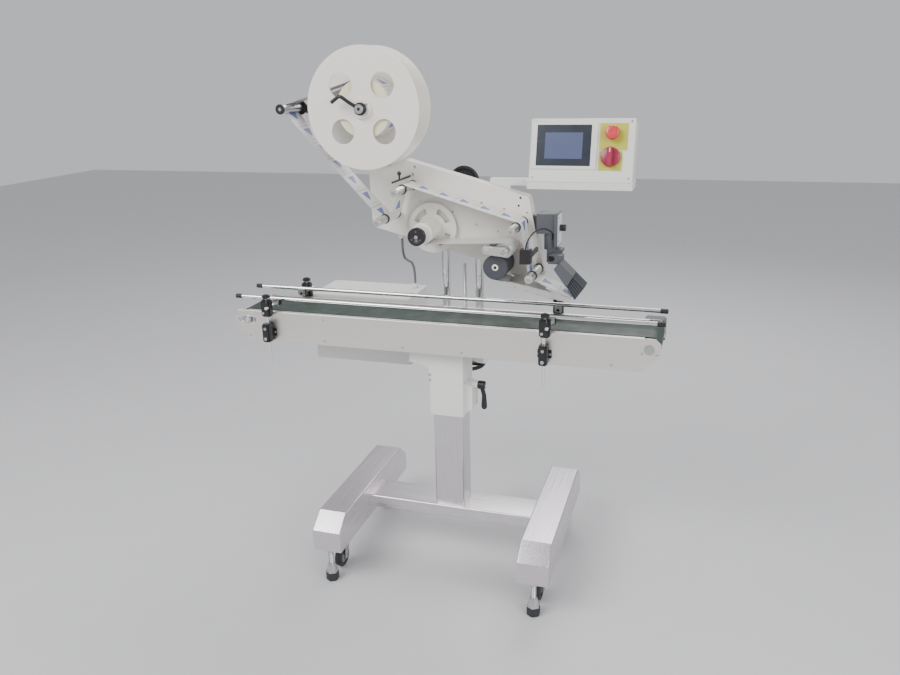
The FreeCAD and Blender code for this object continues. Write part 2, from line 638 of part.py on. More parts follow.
def build_conveyor_fittings():
    """Roller bearings, tension blocks and the lower guide clamps."""
    inside = PANEL_Y - PANEL_T
    pieces = []
    for sign in (-1, 1):
        y0, y1 = sorted((sign * inside, sign * (inside - BEARING_T)))
        flange = rod_y(DRIVE_X, AXLE_Z, y0, y1, BEARING_R)
        pieces.append(flange.cut(rod_y(DRIVE_X, AXLE_Z, y0 - 1, y1 + 1, ROLLER_AXLE_R + RUNNING)))
        block = box(TAIL_X - 24, TAIL_X + 24, y0, y1, AXLE_Z - 17, AXLE_Z + 17)
        pieces.append(block.cut(rod_y(TAIL_X, AXLE_Z, y0 - 1, y1 + 1, ROLLER_AXLE_R + RUNNING)))
    w, d, h = GUIDE_BLOCK
    foot_w, foot_t, foot_h = GUIDE_PLATE
    for side, sign in (("front", -1), ("rear", 1)):
        for x in GUIDE_XS[side]:
            back = box(x - foot_w / 2, x + foot_w / 2, -PANEL_Y - foot_t, -PANEL_Y,
                       GUIDE_BLOCK_Z + 14, GUIDE_BLOCK_Z + 14 + foot_h)
            block = box(x - w / 2, x + w / 2, -PANEL_Y - d, -PANEL_Y, GUIDE_BLOCK_Z,
                        GUIDE_BLOCK_Z + h)
            block = block.makeFillet(3.0, [e for e in block.Edges if abs(e.Length - d) < 0.01])
            screw = rod_y(x, GUIDE_BLOCK_Z + 12, -PANEL_Y - d - 5, -PANEL_Y - d + 1, 5)
            block = fuse(block, back, screw)
            block = block.cut(rod_z(x, -GUIDE_Y, GUIDE_BLOCK_Z - 10, GUIDE_BLOCK_Z + h + 10,
                                    GUIDE_ROD_R + RUNNING))
            pieces.append(block if sign < 0 else mirror_y(block))
    keep("conveyor_fittings", *pieces)


# ---------------------------------------------------------------- guides
def build_guides():
    """Upright rods with their cross clamps, and the rails they carry."""
    w, d, h = GUIDE_HEAD
    head_z = GUIDE_ARM_Z - 30
    clip_w, clip_d, clip_h = RAIL_CLIP
    for side, sign in (("front", -1), ("rear", 1)):
        uprights = []
        rail_set = [rod_x(sign * RAIL_Y, RAIL_Z, RAIL_LEFT_X, RAIL_RIGHT_X, RAIL_R)]
        clips = []
        for x in GUIDE_XS[side]:
            y = sign * GUIDE_Y
            arm_x = x + GUIDE_ROD_R + GUIDE_ARM_R + 1.5
            body = box(x - w / 2 + 3, x + w / 2 + 3, y - d / 2, y + d / 2, head_z, head_z + h)
            body = body.makeFillet(4.0, [e for e in body.Edges if abs(e.Length - d) < 0.01])
            body = body.cut(rod_y(arm_x, GUIDE_ARM_Z, y - d, y + d, GUIDE_ARM_R + RUNNING))
            rod = rod_z(x, y, GUIDE_ROD_BOTTOM_Z, head_z + h - 4, GUIDE_ROD_R)
            uprights.append(fuse(body, rod, knob(x + 3, y, head_z + h)))
            inner_end = sign * (RAIL_Y - clip_d / 2)
            outer_end = sign * (GUIDE_Y + GUIDE_ARM_TAIL)
            y0, y1 = sorted((inner_end, outer_end))
            rail_set.append(rod_y(arm_x, GUIDE_ARM_Z, y0, y1, GUIDE_ARM_R))
            clip = box(arm_x - clip_w / 2, arm_x + clip_w / 2, sign * RAIL_Y - clip_d / 2,
                       sign * RAIL_Y + clip_d / 2, GUIDE_ARM_Z - 8, GUIDE_ARM_Z - 8 + clip_h)
            clip = clip.makeFillet(3.0, [e for e in clip.Edges if abs(e.Length - clip_w) < 0.01])
            clips.append(clip)
        for x0, x1 in ((RAIL_LEFT_X - RAIL_CAP, RAIL_LEFT_X), (RAIL_RIGHT_X, RAIL_RIGHT_X + RAIL_CAP)):
            clips.append(rod_x(sign * RAIL_Y, RAIL_Z, x0, x1, RAIL_R + 1))
        keep(side + "_guide_uprights", *uprights)
        keep(side + "_rail", fuse(*rail_set, *clips))


def knob(x, y, z):
    """Lobed clamping knob on a short neck."""
    neck = rod_z(x, y, z, z + 6, 5)
    head = rod_z(x, y, z + 5, z + GUIDE_KNOB_H, GUIDE_KNOB_R)
    for i in range(6):
        angle = math.radians(60 * i + 30)
        reach = GUIDE_KNOB_R + 2
        head = head.cut(rod_z(x + reach * math.cos(angle), y + reach * math.sin(angle), z + 4,
                              z + GUIDE_KNOB_H + 1, 4))
    return fuse(neck, head)


# --------------------------------------------------------------- cabinet
def build_cabinet():
    (x0, x1), (y0, y1), (z0, z1) = CABINET_X, CABINET_Y, CABINET_Z
    body = box(x0, x1, y0, y1, z0, z1)
    body = body.makeFillet(CABINET_CORNER, [e for e in body.Edges if abs(e.Length - (z1 - z0)) < 0.01])
    s = CABINET_SHEET
    wall = CABINET_CORNER
    body = body.cut(box(x0 + wall, x1 - wall, y0 + wall, y1 - wall, z0 - 1, z1 - s))
    low = CONVEYOR_BOTTOM_Z + 25
    hangers = [box(x, x + 30, PANEL_Y, y0 + 1, low, low + CABINET_RAIL_H)
               for x in (x0 + 60, x1 - 80)]
    x, y = cable_foot()
    gland = rod_z(x, y, z1 - 1, z1 + GLAND_H, GLAND_R).cut(
        rod_z(x, y, z1 + GLAND_H - GLAND_GRIP, z1 + GLAND_H + 1, CABLE_R + RUNNING))
    floor = box(x0 + wall, x1 - wall, y0 + wall, y1 - wall, z0, z0 + s)
    keep("control_cabinet", fuse(body, gland, floor, *hangers))


def cable_foot():
    return CABINET_X[1] - 27, 238.0


# ------------------------------------------------------------- head lift
def handwheel(radius, axis_len, grip_angle, grip_out, disc):
    """Handwheel about +Z with its hub from z = 0 upward; returns one solid."""
    ring_r = radius - WHEEL_RIM_R
    middle = 12.0
    r = WHEEL_RIM_R
    flat = r * math.tan(math.pi / 8)
    section = [(-r, -flat), (-flat, -r), (flat, -r), (r, -flat), (r, flat), (flat, r), (-flat, r),
               (-r, flat)]
    rim = revolve_z(0, 0, [(ring_r + out, middle + up) for out, up in section])
    hub = rod_z(0, 0, 0, axis_len, WHEEL_HUB_R)
    arms = []
    if disc:
        arms.append(rod_z(0, 0, middle - 3, middle + 3, ring_r))
    else:
        for a in (90, 210, 330):
            direction = V(math.cos(math.radians(a)), math.sin(math.radians(a)), 0)
            arms.append(Part.makeCylinder(4.8, ring_r, V(0, 0, middle), direction))
    a = math.radians(grip_angle)
    x, y = ring_r * math.cos(a), ring_r * math.sin(a)
    grip = rod_z(x, y, middle, middle + grip_out, 5.5)
    return fuse(rim, hub, grip, *arms)


def build_lift():
    z0, z1 = LIFT_BLOCK_Z
    y0 = PANEL_Y
    y1 = POST_Y + LIFT_BLOCK_D / 2
    half = LIFT_BLOCK_W / 2
    block = box(-half, half, y0, y1, z0, z1)
    block = block.makeFillet(6.0, [e for e in block.Edges if abs(e.Length - (z1 - z0)) < 0.01
                                   and e.CenterOfMass.y > POST_Y])
    posts = (-POST_SPACING / 2, POST_SPACING / 2)
    for x in posts:
        block = block.fuse(rod_z(x, POST_Y, z1, z1 + 10, POST_R + 6))
        block = block.cut(rod_z(x, POST_Y, z0 - 1, z1 + 11, POST_R + RUNNING))
    block = block.cut(rod_z(LIFT_SCREW_X, POST_Y, z0 - 1, z1 + 1, LIFT_SCREW_R + RUNNING))
    keep("lift_block", block.removeSplitter())

    tie = box(-POST_SPACING / 2 - 22, POST_SPACING / 2 + 22, POST_Y - TIE_D / 2, POST_Y + TIE_D / 2,
              POST_BOTTOM_Z, POST_BOTTOM_Z + TIE_T)
    tie = tie.makeFillet(10.0, [e for e in tie.Edges if abs(e.Length - TIE_T) < 0.01])
    tie = tie.cut(rod_z(LIFT_SCREW_X, POST_Y, POST_BOTTOM_Z - 1, POST_BOTTOM_Z + TIE_T + 1,
                        LIFT_SCREW_R + RUNNING))
    post_top = CARRIAGE_Z[1] + 6
    frame = tie
    for x in posts:
        frame = frame.fuse(rod_z(x, POST_Y, POST_BOTTOM_Z + 1, post_top, POST_R))
    keep("lift_posts", frame.removeSplitter())

    half = CARRIAGE_W / 2
    y0 = POST_Y - CARRIAGE_D / 2
    y1 = POST_Y + CARRIAGE_D / 2
    carriage = box(-half, half, y0, y1, *CARRIAGE_Z)
    lug = [(CROSS_SCREW_X - 24, CARRIAGE_Z[1] - 1, 0), (CROSS_SCREW_X + 24, CARRIAGE_Z[1] - 1, 0),
           (CROSS_SCREW_X + 18, CROSS_SCREW_Z + 18, 10), (CROSS_SCREW_X - 18, CROSS_SCREW_Z + 18, 10)]
    carriage = fuse(carriage, plate_xz(lug, y0, y1))
    for x in posts:
        carriage = carriage.cut(rod_z(x, POST_Y, CARRIAGE_Z[0] - 1, CARRIAGE_Z[1] + 1, POST_R))
    middle = sum(CARRIAGE_Z) / 2
    for x in (-CROSS_ROD_X, CROSS_ROD_X):
        carriage = carriage.cut(rod_y(x, middle, y0 - 1, y1 + 1, CROSS_ROD_R + RUNNING))
    carriage = carriage.cut(rod_y(CROSS_SCREW_X, CROSS_SCREW_Z, y0 - 1, y1 + 1,
                                  CROSS_SCREW_R + RUNNING))
    keep("head_carriage", carriage)

    z = POST_BOTTOM_Z - SLIDING
    wheel = handwheel(LIFT_WHEEL_R, 24, 200, 40, False)
    wheel.rotate(V(0, 0, 0), V(1, 0, 0), 180)
    wheel.translate(V(LIFT_SCREW_X, POST_Y, z))
    screw = rod_z(LIFT_SCREW_X, POST_Y, z - 1, LIFT_SCREW_TOP_Z, LIFT_SCREW_R)
    collar = rod_z(LIFT_SCREW_X, POST_Y, POST_BOTTOM_Z + TIE_T + SLIDING,
                   POST_BOTTOM_Z + TIE_T + 10, LIFT_SCREW_R + 5)
    keep("lift_screw", fuse(screw, wheel, collar))

    y = y1 + SLIDING
    wheel = handwheel(CROSS_WHEEL_R, 24, 35, 34, True)
    wheel.rotate(V(0, 0, 0), V(1, 0, 0), -90)
    wheel.translate(V(CROSS_SCREW_X, y, CROSS_SCREW_Z))
    start = COVER_Y - 19
    screw = rod_y(CROSS_SCREW_X, CROSS_SCREW_Z, start, y + 1, CROSS_SCREW_R)
    collar = rod_y(CROSS_SCREW_X, CROSS_SCREW_Z, y0 - 6, y0 - SLIDING, CROSS_SCREW_R + 4)
    keep("cross_screw", fuse(screw, wheel, collar))


# ------------------------------------------------------------------ head
def build_head_plate():
    """Front plate with its reel ear, and the flanges folded back from it."""
    back = PLATE_Y + PLATE_T
    plate = plate_xz(HEAD_OUTLINE, PLATE_Y, back)
    rx, rz = REEL
    half = EAR_WIDTH / 2
    low = HEAD_OUTLINE[0][1] - 60
    ear = plate_xz([(rx - half + 8, low, 0), (rx + half + 40, low, 0), (rx + half, rz + half, half - 1),
                    (rx - half, rz + half, half - 1)], PLATE_Y, back)
    px, pz = DANCER_PIVOT
    plate = fuse(plate, ear, rod_y(px, pz, PLATE_Y, back, 22))
    inner = [shrink(HEAD_OUTLINE, i, HEAD_SHEET) for i in range(len(HEAD_OUTLINE))]
    ring = plate_xz(HEAD_OUTLINE, back, COVER_Y).cut(plate_xz(inner, back - 1, COVER_Y + 1))
    gap = box(HEAD_OUTLINE[0][0] - 1, TOP_FLANGE_START_X, back - 1, COVER_Y + 1,
              HEAD_OUTLINE[-1][1] + TOP_FLANGE_RISE, HEAD_OUTLINE[0][1] + 1)
    plate = fuse(plate, ring.cut(gap))
    for x, z in (REEL, DANCER_PIVOT):
        plate = plate.cut(rod_y(x, z, PLATE_Y - 1, back + 1, PIN_R + 3 + RUNNING))
    for x, z in (LOWER_LEFT, UPPER_LEFT, UPPER_RIGHT, PEEL_ROLLER):
        plate = plate.cut(rod_y(x, z, PLATE_Y - 1, back + 1, PIN_R + RUNNING))
    x, z = NIP_PIVOT
    plate = plate.cut(rod_y(x, z, PLATE_Y - 1, back + 1, PIN_R))
    x, y, z = CABLE_POINTS[0]
    gland = rod_z(x, y, z - GLAND_GRIP, z + GLAND_H - GLAND_GRIP + 3, GLAND_R)
    plate = fuse(plate, gland).cut(rod_z(x, y, z - GLAND_GRIP - 1, z, CABLE_R + RUNNING))
    for x, z in (REWINDER, FEED):
        plate = plate.cut(rod_y(x, z, PLATE_Y - 1, back + 1, FEED_SHAFT_R + RUNNING))
    keep("head_plate", plate)

    cover = plate_xz(HEAD_OUTLINE, COVER_Y, COVER_Y + HEAD_COVER_T)
    middle = sum(CARRIAGE_Z) / 2
    rods = [rod_y(x, middle, COVER_Y + 1, COVER_Y + CROSS_ROD_LENGTH, CROSS_ROD_R)
            for x in (-CROSS_ROD_X, CROSS_ROD_X)]
    boss = rod_y(CROSS_SCREW_X, CROSS_SCREW_Z, COVER_Y - 10, COVER_Y + 1, 11)
    cover = fuse(cover, boss, *rods)
    cover = cover.cut(rod_y(CROSS_SCREW_X, CROSS_SCREW_Z, COVER_Y - 11, COVER_Y + 3,
                            CROSS_SCREW_R + RUNNING))
    x, z = FEED
    cover = cover.cut(rod_y(x, z, COVER_Y - 1, COVER_Y + 3, FEED_SHAFT_R + 1))

    y0 = COVER_Y + HEAD_COVER_T
    half = 30
    motor = box(x - half, x + half, y0, y0 + 72, z - half, z + half)
    motor = motor.makeChamfer(6.0, [e for e in motor.Edges if abs(e.Length - 72) < 0.01])
    motor = motor.cut(rod_y(x, z, y0 - 1, y0 + 12, FEED_SHAFT_R + RUNNING))
    keep("head_cover", cover, motor)


def shrink(points, i, t):
    """Corner i of the outline moved inward by t from both of its sides."""
    count = len(points)
    here = V(points[i][0], points[i][1], 0)
    before = here - V(points[i - 1][0], points[i - 1][1], 0)
    after = V(points[(i + 1) % count][0], points[(i + 1) % count][1], 0) - here
    n1 = V(before.y, -before.x, 0).normalize()
    n2 = V(after.y, -after.x, 0).normalize()
    bisector = (n1 + n2).normalize()
    moved = here + bisector * (t / bisector.dot(n1))
    return moved.x, moved.y, max(points[i][2] - t, 0)


def build_reel():
    x, z = REEL
    half = REEL_GAP / 2
    windows = [rod_y(x + REEL_WINDOW_PCD_R * math.cos(math.radians(a)),
                     z + REEL_WINDOW_PCD_R * math.sin(math.radians(a)), -half - 10, -half + 1,
                     REEL_WINDOW_R) for a in (45, 135, 225, 315)]
    front = rod_y(x, z, -half - REEL_T, -half, REEL_R)
    front = front.makeChamfer(1.2, [front.Edges[0], front.Edges[2]])
    boss = rod_y(x, z, -half - REEL_T - 8, -half, REEL_HUB_R)
    front = fuse(front, boss).cut(rod_y(x, z, -half - 20, -half + 1, SPINDLE_R + RUNNING))
    for window in windows:
        front = front.cut(window)
    back = rod_y(x, z, half, half + REEL_T, REEL_R)
    core = rod_y(x, z, -half, half + 1, CORE_R - SLIDING)
    spindle = rod_y(x, z, -half - REEL_T - 26, -half + 1, SPINDLE_R)
    axle = rod_y(x, z, half + REEL_T - 1, PLATE_Y + PLATE_T + 6, PIN_R + 3)
    keep("reel", fuse(back, core, spindle, axle), front)
    roll = rod_y(x, z, -WEB_W / 2, WEB_W / 2, ROLL_R)
    keep("label_roll", roll.cut(rod_y(x, z, -WEB_W, WEB_W, CORE_R)))
    y = -half - REEL_T - 8 - SLIDING
    hub = rod_y(x, z, y - 12, y, 17).cut(rod_y(x, z, y - 13, y + 1, SPINDLE_R + RUNNING))
    arm = Part.makeCone(7, 5, 46, V(x - 14, y - 8, z + 6), V(-0.72, -0.25, 0.6))
    elbow = V(x - 14 - 46 * 0.72 / 0.97, y - 8 - 46 * 0.25 / 0.97, z + 6 + 46 * 0.6 / 0.97)
    grip = Part.makeCone(5, 6.5, 40, elbow, V(-0.85, -0.05, -0.5))
    knee = Part.makeSphere(6.0, elbow)
    keep("reel_lever", fuse(hub, arm, knee, grip))


def web_roller(centre, tip_y, r=ROLLER_WEB_R):
    """Free roller on a fixed pin, with two collars that guide the web."""
    x, z = centre
    start = PLATE_Y - 2
    edge = WEB_W / 2 + 2
    roller = rod_y(x, z, tip_y, start, r)
    back = rod_y(x, z, edge, edge + COLLAR_T, COLLAR_R)
    front = rod_y(x, z, -edge - COLLAR_T, -edge, COLLAR_R)
    pin = rod_y(x, z, start - 1, PLATE_Y + PLATE_T + 4, PIN_R)
    nose = Part.makeCone(PIN_R + 1, PIN_R, 4, V(x, tip_y + 1, z), V(0, -1, 0))
    return fuse(roller, back, front, pin, nose)


def build_dancer():
    y0 = PLATE_Y + PLATE_T + SLIDING
    y1 = y0 + DANCER_ARM_T
    px, pz = DANCER_PIVOT
    x, z = DANCER
    along = V(x - px, z - pz, 0).normalize()
    side = V(-along.y, along.x, 0)
    corners = []
    for centre, half, ends in ((V(px, pz, 0), 15, -1), (V(x, z, 0), 11, 1)):
        for sign in (1, -1):
            point = centre + side * half * sign * ends * -1 + along * half * ends
            corners.append((point.x, point.y, half * 0.9))
    arm = plate_xz(corners, y0, y1)
    pivot = rod_y(px, pz, PLATE_Y - 2, y0 + 1, PIN_R + 3)
    arm = fuse(arm, pivot).cut(rod_y(x, z, y0 - 1, y1 + 1, PIN_R + RUNNING))
    keep("dancer_arm", arm)
    edge = WEB_W / 2 + 2
    roller = rod_y(x, z, DANCER_TIP_Y, PLATE_Y - 2, ROLLER_WEB_R)
    back = rod_y(x, z, edge, edge + COLLAR_T + 2, COLLAR_R + 8)
    front = rod_y(x, z, DANCER_TIP_Y, DANCER_TIP_Y + COLLAR_T, COLLAR_R)
    pin = rod_y(x, z, PLATE_Y - 3, y1 + 2, PIN_R)
    keep("dancer_roller", fuse(roller, back, front, pin))


def build_rewinder():
    x, z = REWINDER
    y0 = WEB_W / 2 + 2
    disc = rod_y(x, z, y0, y0 + 4, REWINDER_DISC_R)
    for a in (20, 110, 200, 290):
        disc = disc.cut(kidney(x, z, y0 - 1, y0 + 5, 42, 58, a, 52))
    hub = rod_y(x, z, -WEB_W / 2 - 8, y0 + 1, REWINDER_HUB_R)
    shaft = rod_y(x, z, y0 + 3, PLATE_Y + PLATE_T + 8, FEED_SHAFT_R)
    neck = rod_y(x, z, -WEB_W / 2 - 40, -WEB_W / 2 - 7, 12)
    front = -WEB_W / 2 - 44
    knob_ = rod_y(x, z, front - REWINDER_KNOB_T, front, REWINDER_KNOB_R)
    knob_ = knob_.makeChamfer(1.5, [e for e in knob_.Edges if abs(e.CenterOfMass.y - front
                                                                + REWINDER_KNOB_T) < 0.01])
    link = rod_y(x, z, front - 1, front + 5, 12)
    keep("rewinder", fuse(disc, hub, shaft, neck, link, knob_))


def kidney(x, z, y0, y1, r0, r1, start, sweep):
    """Curved window in a disc, between two radii."""
    def at(r, a):
        return V(x + r * math.cos(math.radians(a)), y0, z + r * math.sin(math.radians(a)))
    middle = start + sweep / 2
    end = start + sweep
    outer = Part.Arc(at(r1, start), at(r1, middle), at(r1, end)).toShape()
    inner = Part.Arc(at(r0, end), at(r0, middle), at(r0, start)).toShape()
    wire = Part.Wire([outer, Part.makeLine(at(r1, end), at(r0, end)), inner,
                      Part.makeLine(at(r0, start), at(r1, start))])
    return Part.Face(wire).extrude(V(0, y1 - y0, 0))


def build_feed():
    x, z = FEED
    edge = WEB_W / 2 + 4
    roller = rod_y(x, z, -edge, edge, FEED_R)
    roller = roller.makeChamfer(1.5, [roller.Edges[0], roller.Edges[2]])
    shaft = rod_y(x, z, edge - 1, COVER_Y + HEAD_COVER_T + 10, FEED_SHAFT_R)
    nose = rod_y(x, z, -edge - 3, -edge + 1, FEED_SHAFT_R - 2)
    keep("feed_roller", fuse(roller, shaft, nose))

    nx, nz = NIP
    body = rod_y(nx, nz, -edge, edge, NIP_R)
    axle = rod_y(nx, nz, -edge - 30, edge + 4, PIN_R)
    keep("nip_roller", fuse(body, axle))

    px, pz = NIP_PIVOT
    pieces = []
    for y0, y1 in ((-edge - 22, -edge - 12), (edge + 0.5, edge + 5.5)):
        arm = plate_xz(link_outline((px, pz), (nx, nz), 11, 13), y0, y1)
        arm = arm.cut(rod_y(nx, nz, y0 - 1, y1 + 1, PIN_R + RUNNING))
        pieces.append(arm)
    bar = rod_y(px, pz, -edge - 30, PLATE_Y + PLATE_T + 4, PIN_R)
    sleeve = rod_y(px, pz, -edge - 13, edge + 1, 8)
    keep("nip_arm", fuse(pieces[0], pieces[1], bar, sleeve))


def link_outline(a, b, ra, rb):
    """Rounded link between two centres, as (x, z, radius) corners."""
    along = V(b[0] - a[0], b[1] - a[1], 0).normalize()
    side = V(-along.y, along.x, 0)
    first = V(a[0], a[1], 0)
    second = V(b[0], b[1], 0)
    corners = [first - along * ra + side * ra, first - along * ra - side * ra,
               second + along * rb - side * rb, second + along * rb + side * rb]
    radii = [ra * 0.9, ra * 0.9, rb * 0.9, rb * 0.9]
    return [(p.x, p.y, r) for p, r in zip(corners, radii)]


# ------------------------------------------------------------------- web
def tangent(c1, s1, c2, s2):
    """Line tangent to two circles; s is the radius, positive where the path
    turns anticlockwise round it and negative where it turns clockwise."""
    dx, dz = c2[0] - c1[0], c2[1] - c1[1]
    ratio = (s2 - s1) / math.hypot(dx, dz)
    angle = math.atan2(dz, dx) - math.asin(max(-1.0, min(1.0, ratio)))
    n = (-math.sin(angle), math.cos(angle))
    return (c1[0] - s1 * n[0], c1[1] - s1 * n[1]), (c2[0] - s2 * n[0], c2[1] - s2 * n[1])


def web(path, width, t, first=0):
    """Thin strip of paper along a path of (centre, signed radius) stops.
    The straight runs before number first only set its starting direction."""
    pieces = []
    lines = [tangent(path[i][0], path[i][1], path[i + 1][0], path[i + 1][1])
             for i in range(len(path) - 1)]
    for (x0, z0), (x1, z1) in lines[first:]:
        length = math.hypot(x1 - x0, z1 - z0)
        if length < 0.5:
            continue
        nx, nz = -(z1 - z0) / length * t / 2, (x1 - x0) / length * t / 2
        pieces.append(plate_xz([(x0 - nx, z0 - nz), (x1 - nx, z1 - nz), (x1 + nx, z1 + nz),
                                (x0 + nx, z0 + nz)], -width / 2, width / 2))
    for i in range(1, len(path) - 1):
        (cx, cz), s = path[i]
        start, end = lines[i - 1][1], lines[i][0]
        a0 = math.degrees(math.atan2(start[1] - cz, start[0] - cx))
        a1 = math.degrees(math.atan2(end[1] - cz, end[0] - cx))
        sweep = (a1 - a0) % 360 if s > 0 else -((a0 - a1) % 360)
        if abs(sweep) < 0.5 or abs(s) < 1:
            continue
        pieces.append(kidney(cx, cz, -width / 2, width / 2, abs(s) - t / 2, abs(s) + t / 2, a0, sweep))
    return fuse(pieces[0], *pieces[1:])


def around(roller, r, turn):
    return roller, turn * (r + WRAP_GAP + WEB_T / 2)


def build_web():
    top = (REEL[0], REEL[1])
    unwind = [around(top, ROLL_R, 1), around(DANCER, ROLLER_WEB_R, 1),
              around(LOWER_LEFT, ROLLER_WEB_R, 1)]
    keep("label_web_unwind", web(unwind, WEB_W, WEB_T))
    tip = (PEEL_TIP[0], PEEL_TIP[1] - PEEL_T / 2)
    run = [around(DANCER, ROLLER_WEB_R, 1), around(LOWER_LEFT, ROLLER_WEB_R, 1),
           around(UPPER_LEFT, ROLLER_WEB_R, -1), around(UPPER_RIGHT, ROLLER_WEB_R, -1),
           around(PEEL_ROLLER, ROLLER_WEB_R, 1), around(tip, PEEL_T / 2, -1),
           around(FEED, FEED_R, -1), around(NIP, NIP_R, 1), around(REWINDER, REWINDER_HUB_R, -1)]
    strip = web(run, WEB_W, WEB_T, 1)
    keep("label_web", strip)


def build_peel():
    """Blade under the incoming web, side strips and the block behind them."""
    t = WRAP_GAP + WEB_T / 2
    tip = (PEEL_TIP[0], PEEL_TIP[1] - PEEL_T / 2)
    (x0, z0), (x1, z1) = tangent(PEEL_ROLLER, ROLLER_WEB_R + t, tip, -(PEEL_T / 2 + t))
    angle = math.atan2(z1 - z0, x1 - x0)
    along = V(math.cos(angle), math.sin(angle), 0)
    across = V(-along.y, along.x, 0)
    centre = V(tip[0], tip[1], 0)
    half = WEB_W / 2 + 5
    top_a = centre + across * (PEEL_T / 2)
    low_a = centre - across * (PEEL_T / 2)
    blade = plate_xz([(top_a.x - along.x * 70, top_a.y - along.y * 70), (top_a.x, top_a.y),
                      (low_a.x, low_a.y), (low_a.x - along.x * 70, low_a.y - along.y * 70)],
                     -half, half)
    blade = blade.fuse(rod_y(tip[0], tip[1], -half, half, PEEL_T / 2))
    hx, hz = PEEL_HEEL
    bed = plate_xz([(hx, hz), (top_a.x - along.x * 30, top_a.y - along.y * 30 - 1),
                    (low_a.x - along.x * 28, low_a.y - along.y * 28), (hx, hz - PEEL_T)], -half, half)
    pieces = [blade, bed]
    for y0, y1 in ((-half - PEEL_SIDE_T, -half), (half, half + PEEL_SIDE_T)):
        strip = plate_xz([(hx - 16, hz + 2, 2), (hx - 14, hz - PEEL_STRIP_H, 2),
                          (tip[0] + 2, tip[1] - 10, 3), (tip[0] + 2, tip[1] + 5, 3)], y0, y1)
        pieces.append(strip)
    spacer = box(hx + 10, hx + 60, half + PEEL_SIDE_T, PLATE_Y + 1, hz - 14, hz + 0)
    spacer = spacer.common(box(-1000, 1000, 0, PLATE_Y, hz - 8, hz))
    keep("peel_table", fuse(*pieces, spacer))


def build_brush():
    """Slide block on the head's right flange, and the wiping brush."""
    px, pz = BRUSH_PIVOT
    w, d, h = SLIDE_BLOCK
    front = SLIDE_FRONT_Y
    back = front + d
    right = px + 1
    left = right - w
    low = pz + SLIDE_RISE
    top = low + h
    block = box(left, right, front, back, low, top)
    foot = box(left - 20, left + 1, back - 20, back, low, top - 10)
    foot = foot.cut(plate_xz(HEAD_OUTLINE, PLATE_Y, COVER_Y))
    rail_w, rail_d, rail_h = SLIDE_RAIL
    rail_x = right + rail_w
    rail = box(right, rail_x, front - 6, front - 6 + rail_d, top + 2 - rail_h, top + 2)
    button_r, button_l = SLIDE_BUTTON
    button = rod_x(front + 24, low + 15, rail_x, rail_x + button_l, button_r)
    cylinder = rod_z(right - 12, front + 22, low - CYLINDER_H, low, CYLINDER_R)
    fork_top = low - CYLINDER_H + 2
    fork = box(px - 20, px + 24, front + 2, front + 8, pz - 20, fork_top)
    fork = fork.fuse(box(px - 20, px + 24, front + 2, front + 38, fork_top - 7, fork_top))
    slide = fuse(block, foot, rail, button, cylinder, fork)
    slide = slide.cut(rod_y(px, pz, front + 1, front + 9, PIN_R + RUNNING))
    keep("brush_slide", slide)
    half = BRUSH_W / 2
    holder = [(px + 28, pz - 6, 2), (px + 66, pz - 42, 2), (px + 48, pz - 74, 2),
              (px + 12, pz - 24, 2)]
    tuft = [(px + 64, pz - 42), (px + 97, pz - 72), (px + 71, pz - 109), (px + 47, pz - 72)]
    pad = fuse(plate_xz(holder, -half, half - 8), plate_xz(tuft, -half + 1, half - 9))
    ear = box(px - 9, px + 30, -8, front, pz - 16, pz + 8)
    eye = rod_y(px, pz, -8, front + 2 - SLIDING, 10)
    pin = rod_y(px, pz, front + 1, front + 12, PIN_R)
    keep("brush", fuse(pad, ear, eye, pin))


def build_fittings():
    """Label sensor fork on its arm, and the web brake above the first roller."""
    x, z = SENSOR_PLACE
    w, d, h = SENSOR
    edge = -WEB_W / 2
    front = edge - d / 2
    back = edge + d / 2
    slot = box(x - SENSOR_SLOT / 2, x + SENSOR_SLOT / 2, edge - 4, back + 1, z - h, z + h)
    fork = box(x - w / 2, x + w / 2, front, back, z - h / 2, z + h / 2).cut(slot)
    arm = box(x + SENSOR_SLOT / 2, x + w / 2, back - 2, PLATE_Y, z - 5, z + 7)
    sensor = fuse(arm, fork)
    bx, bz = UPPER_LEFT[0] - 12, UPPER_LEFT[1] + 24
    stem = rod_y(bx, bz, edge - 44, PLATE_Y, 3)
    grip = rod_z(bx, edge + 10, bz, bz + 16, 2.5)
    ball = Part.makeSphere(6, V(bx, edge + 10, bz + 18))
    keep("web_fittings", sensor, fuse(stem, grip, ball))


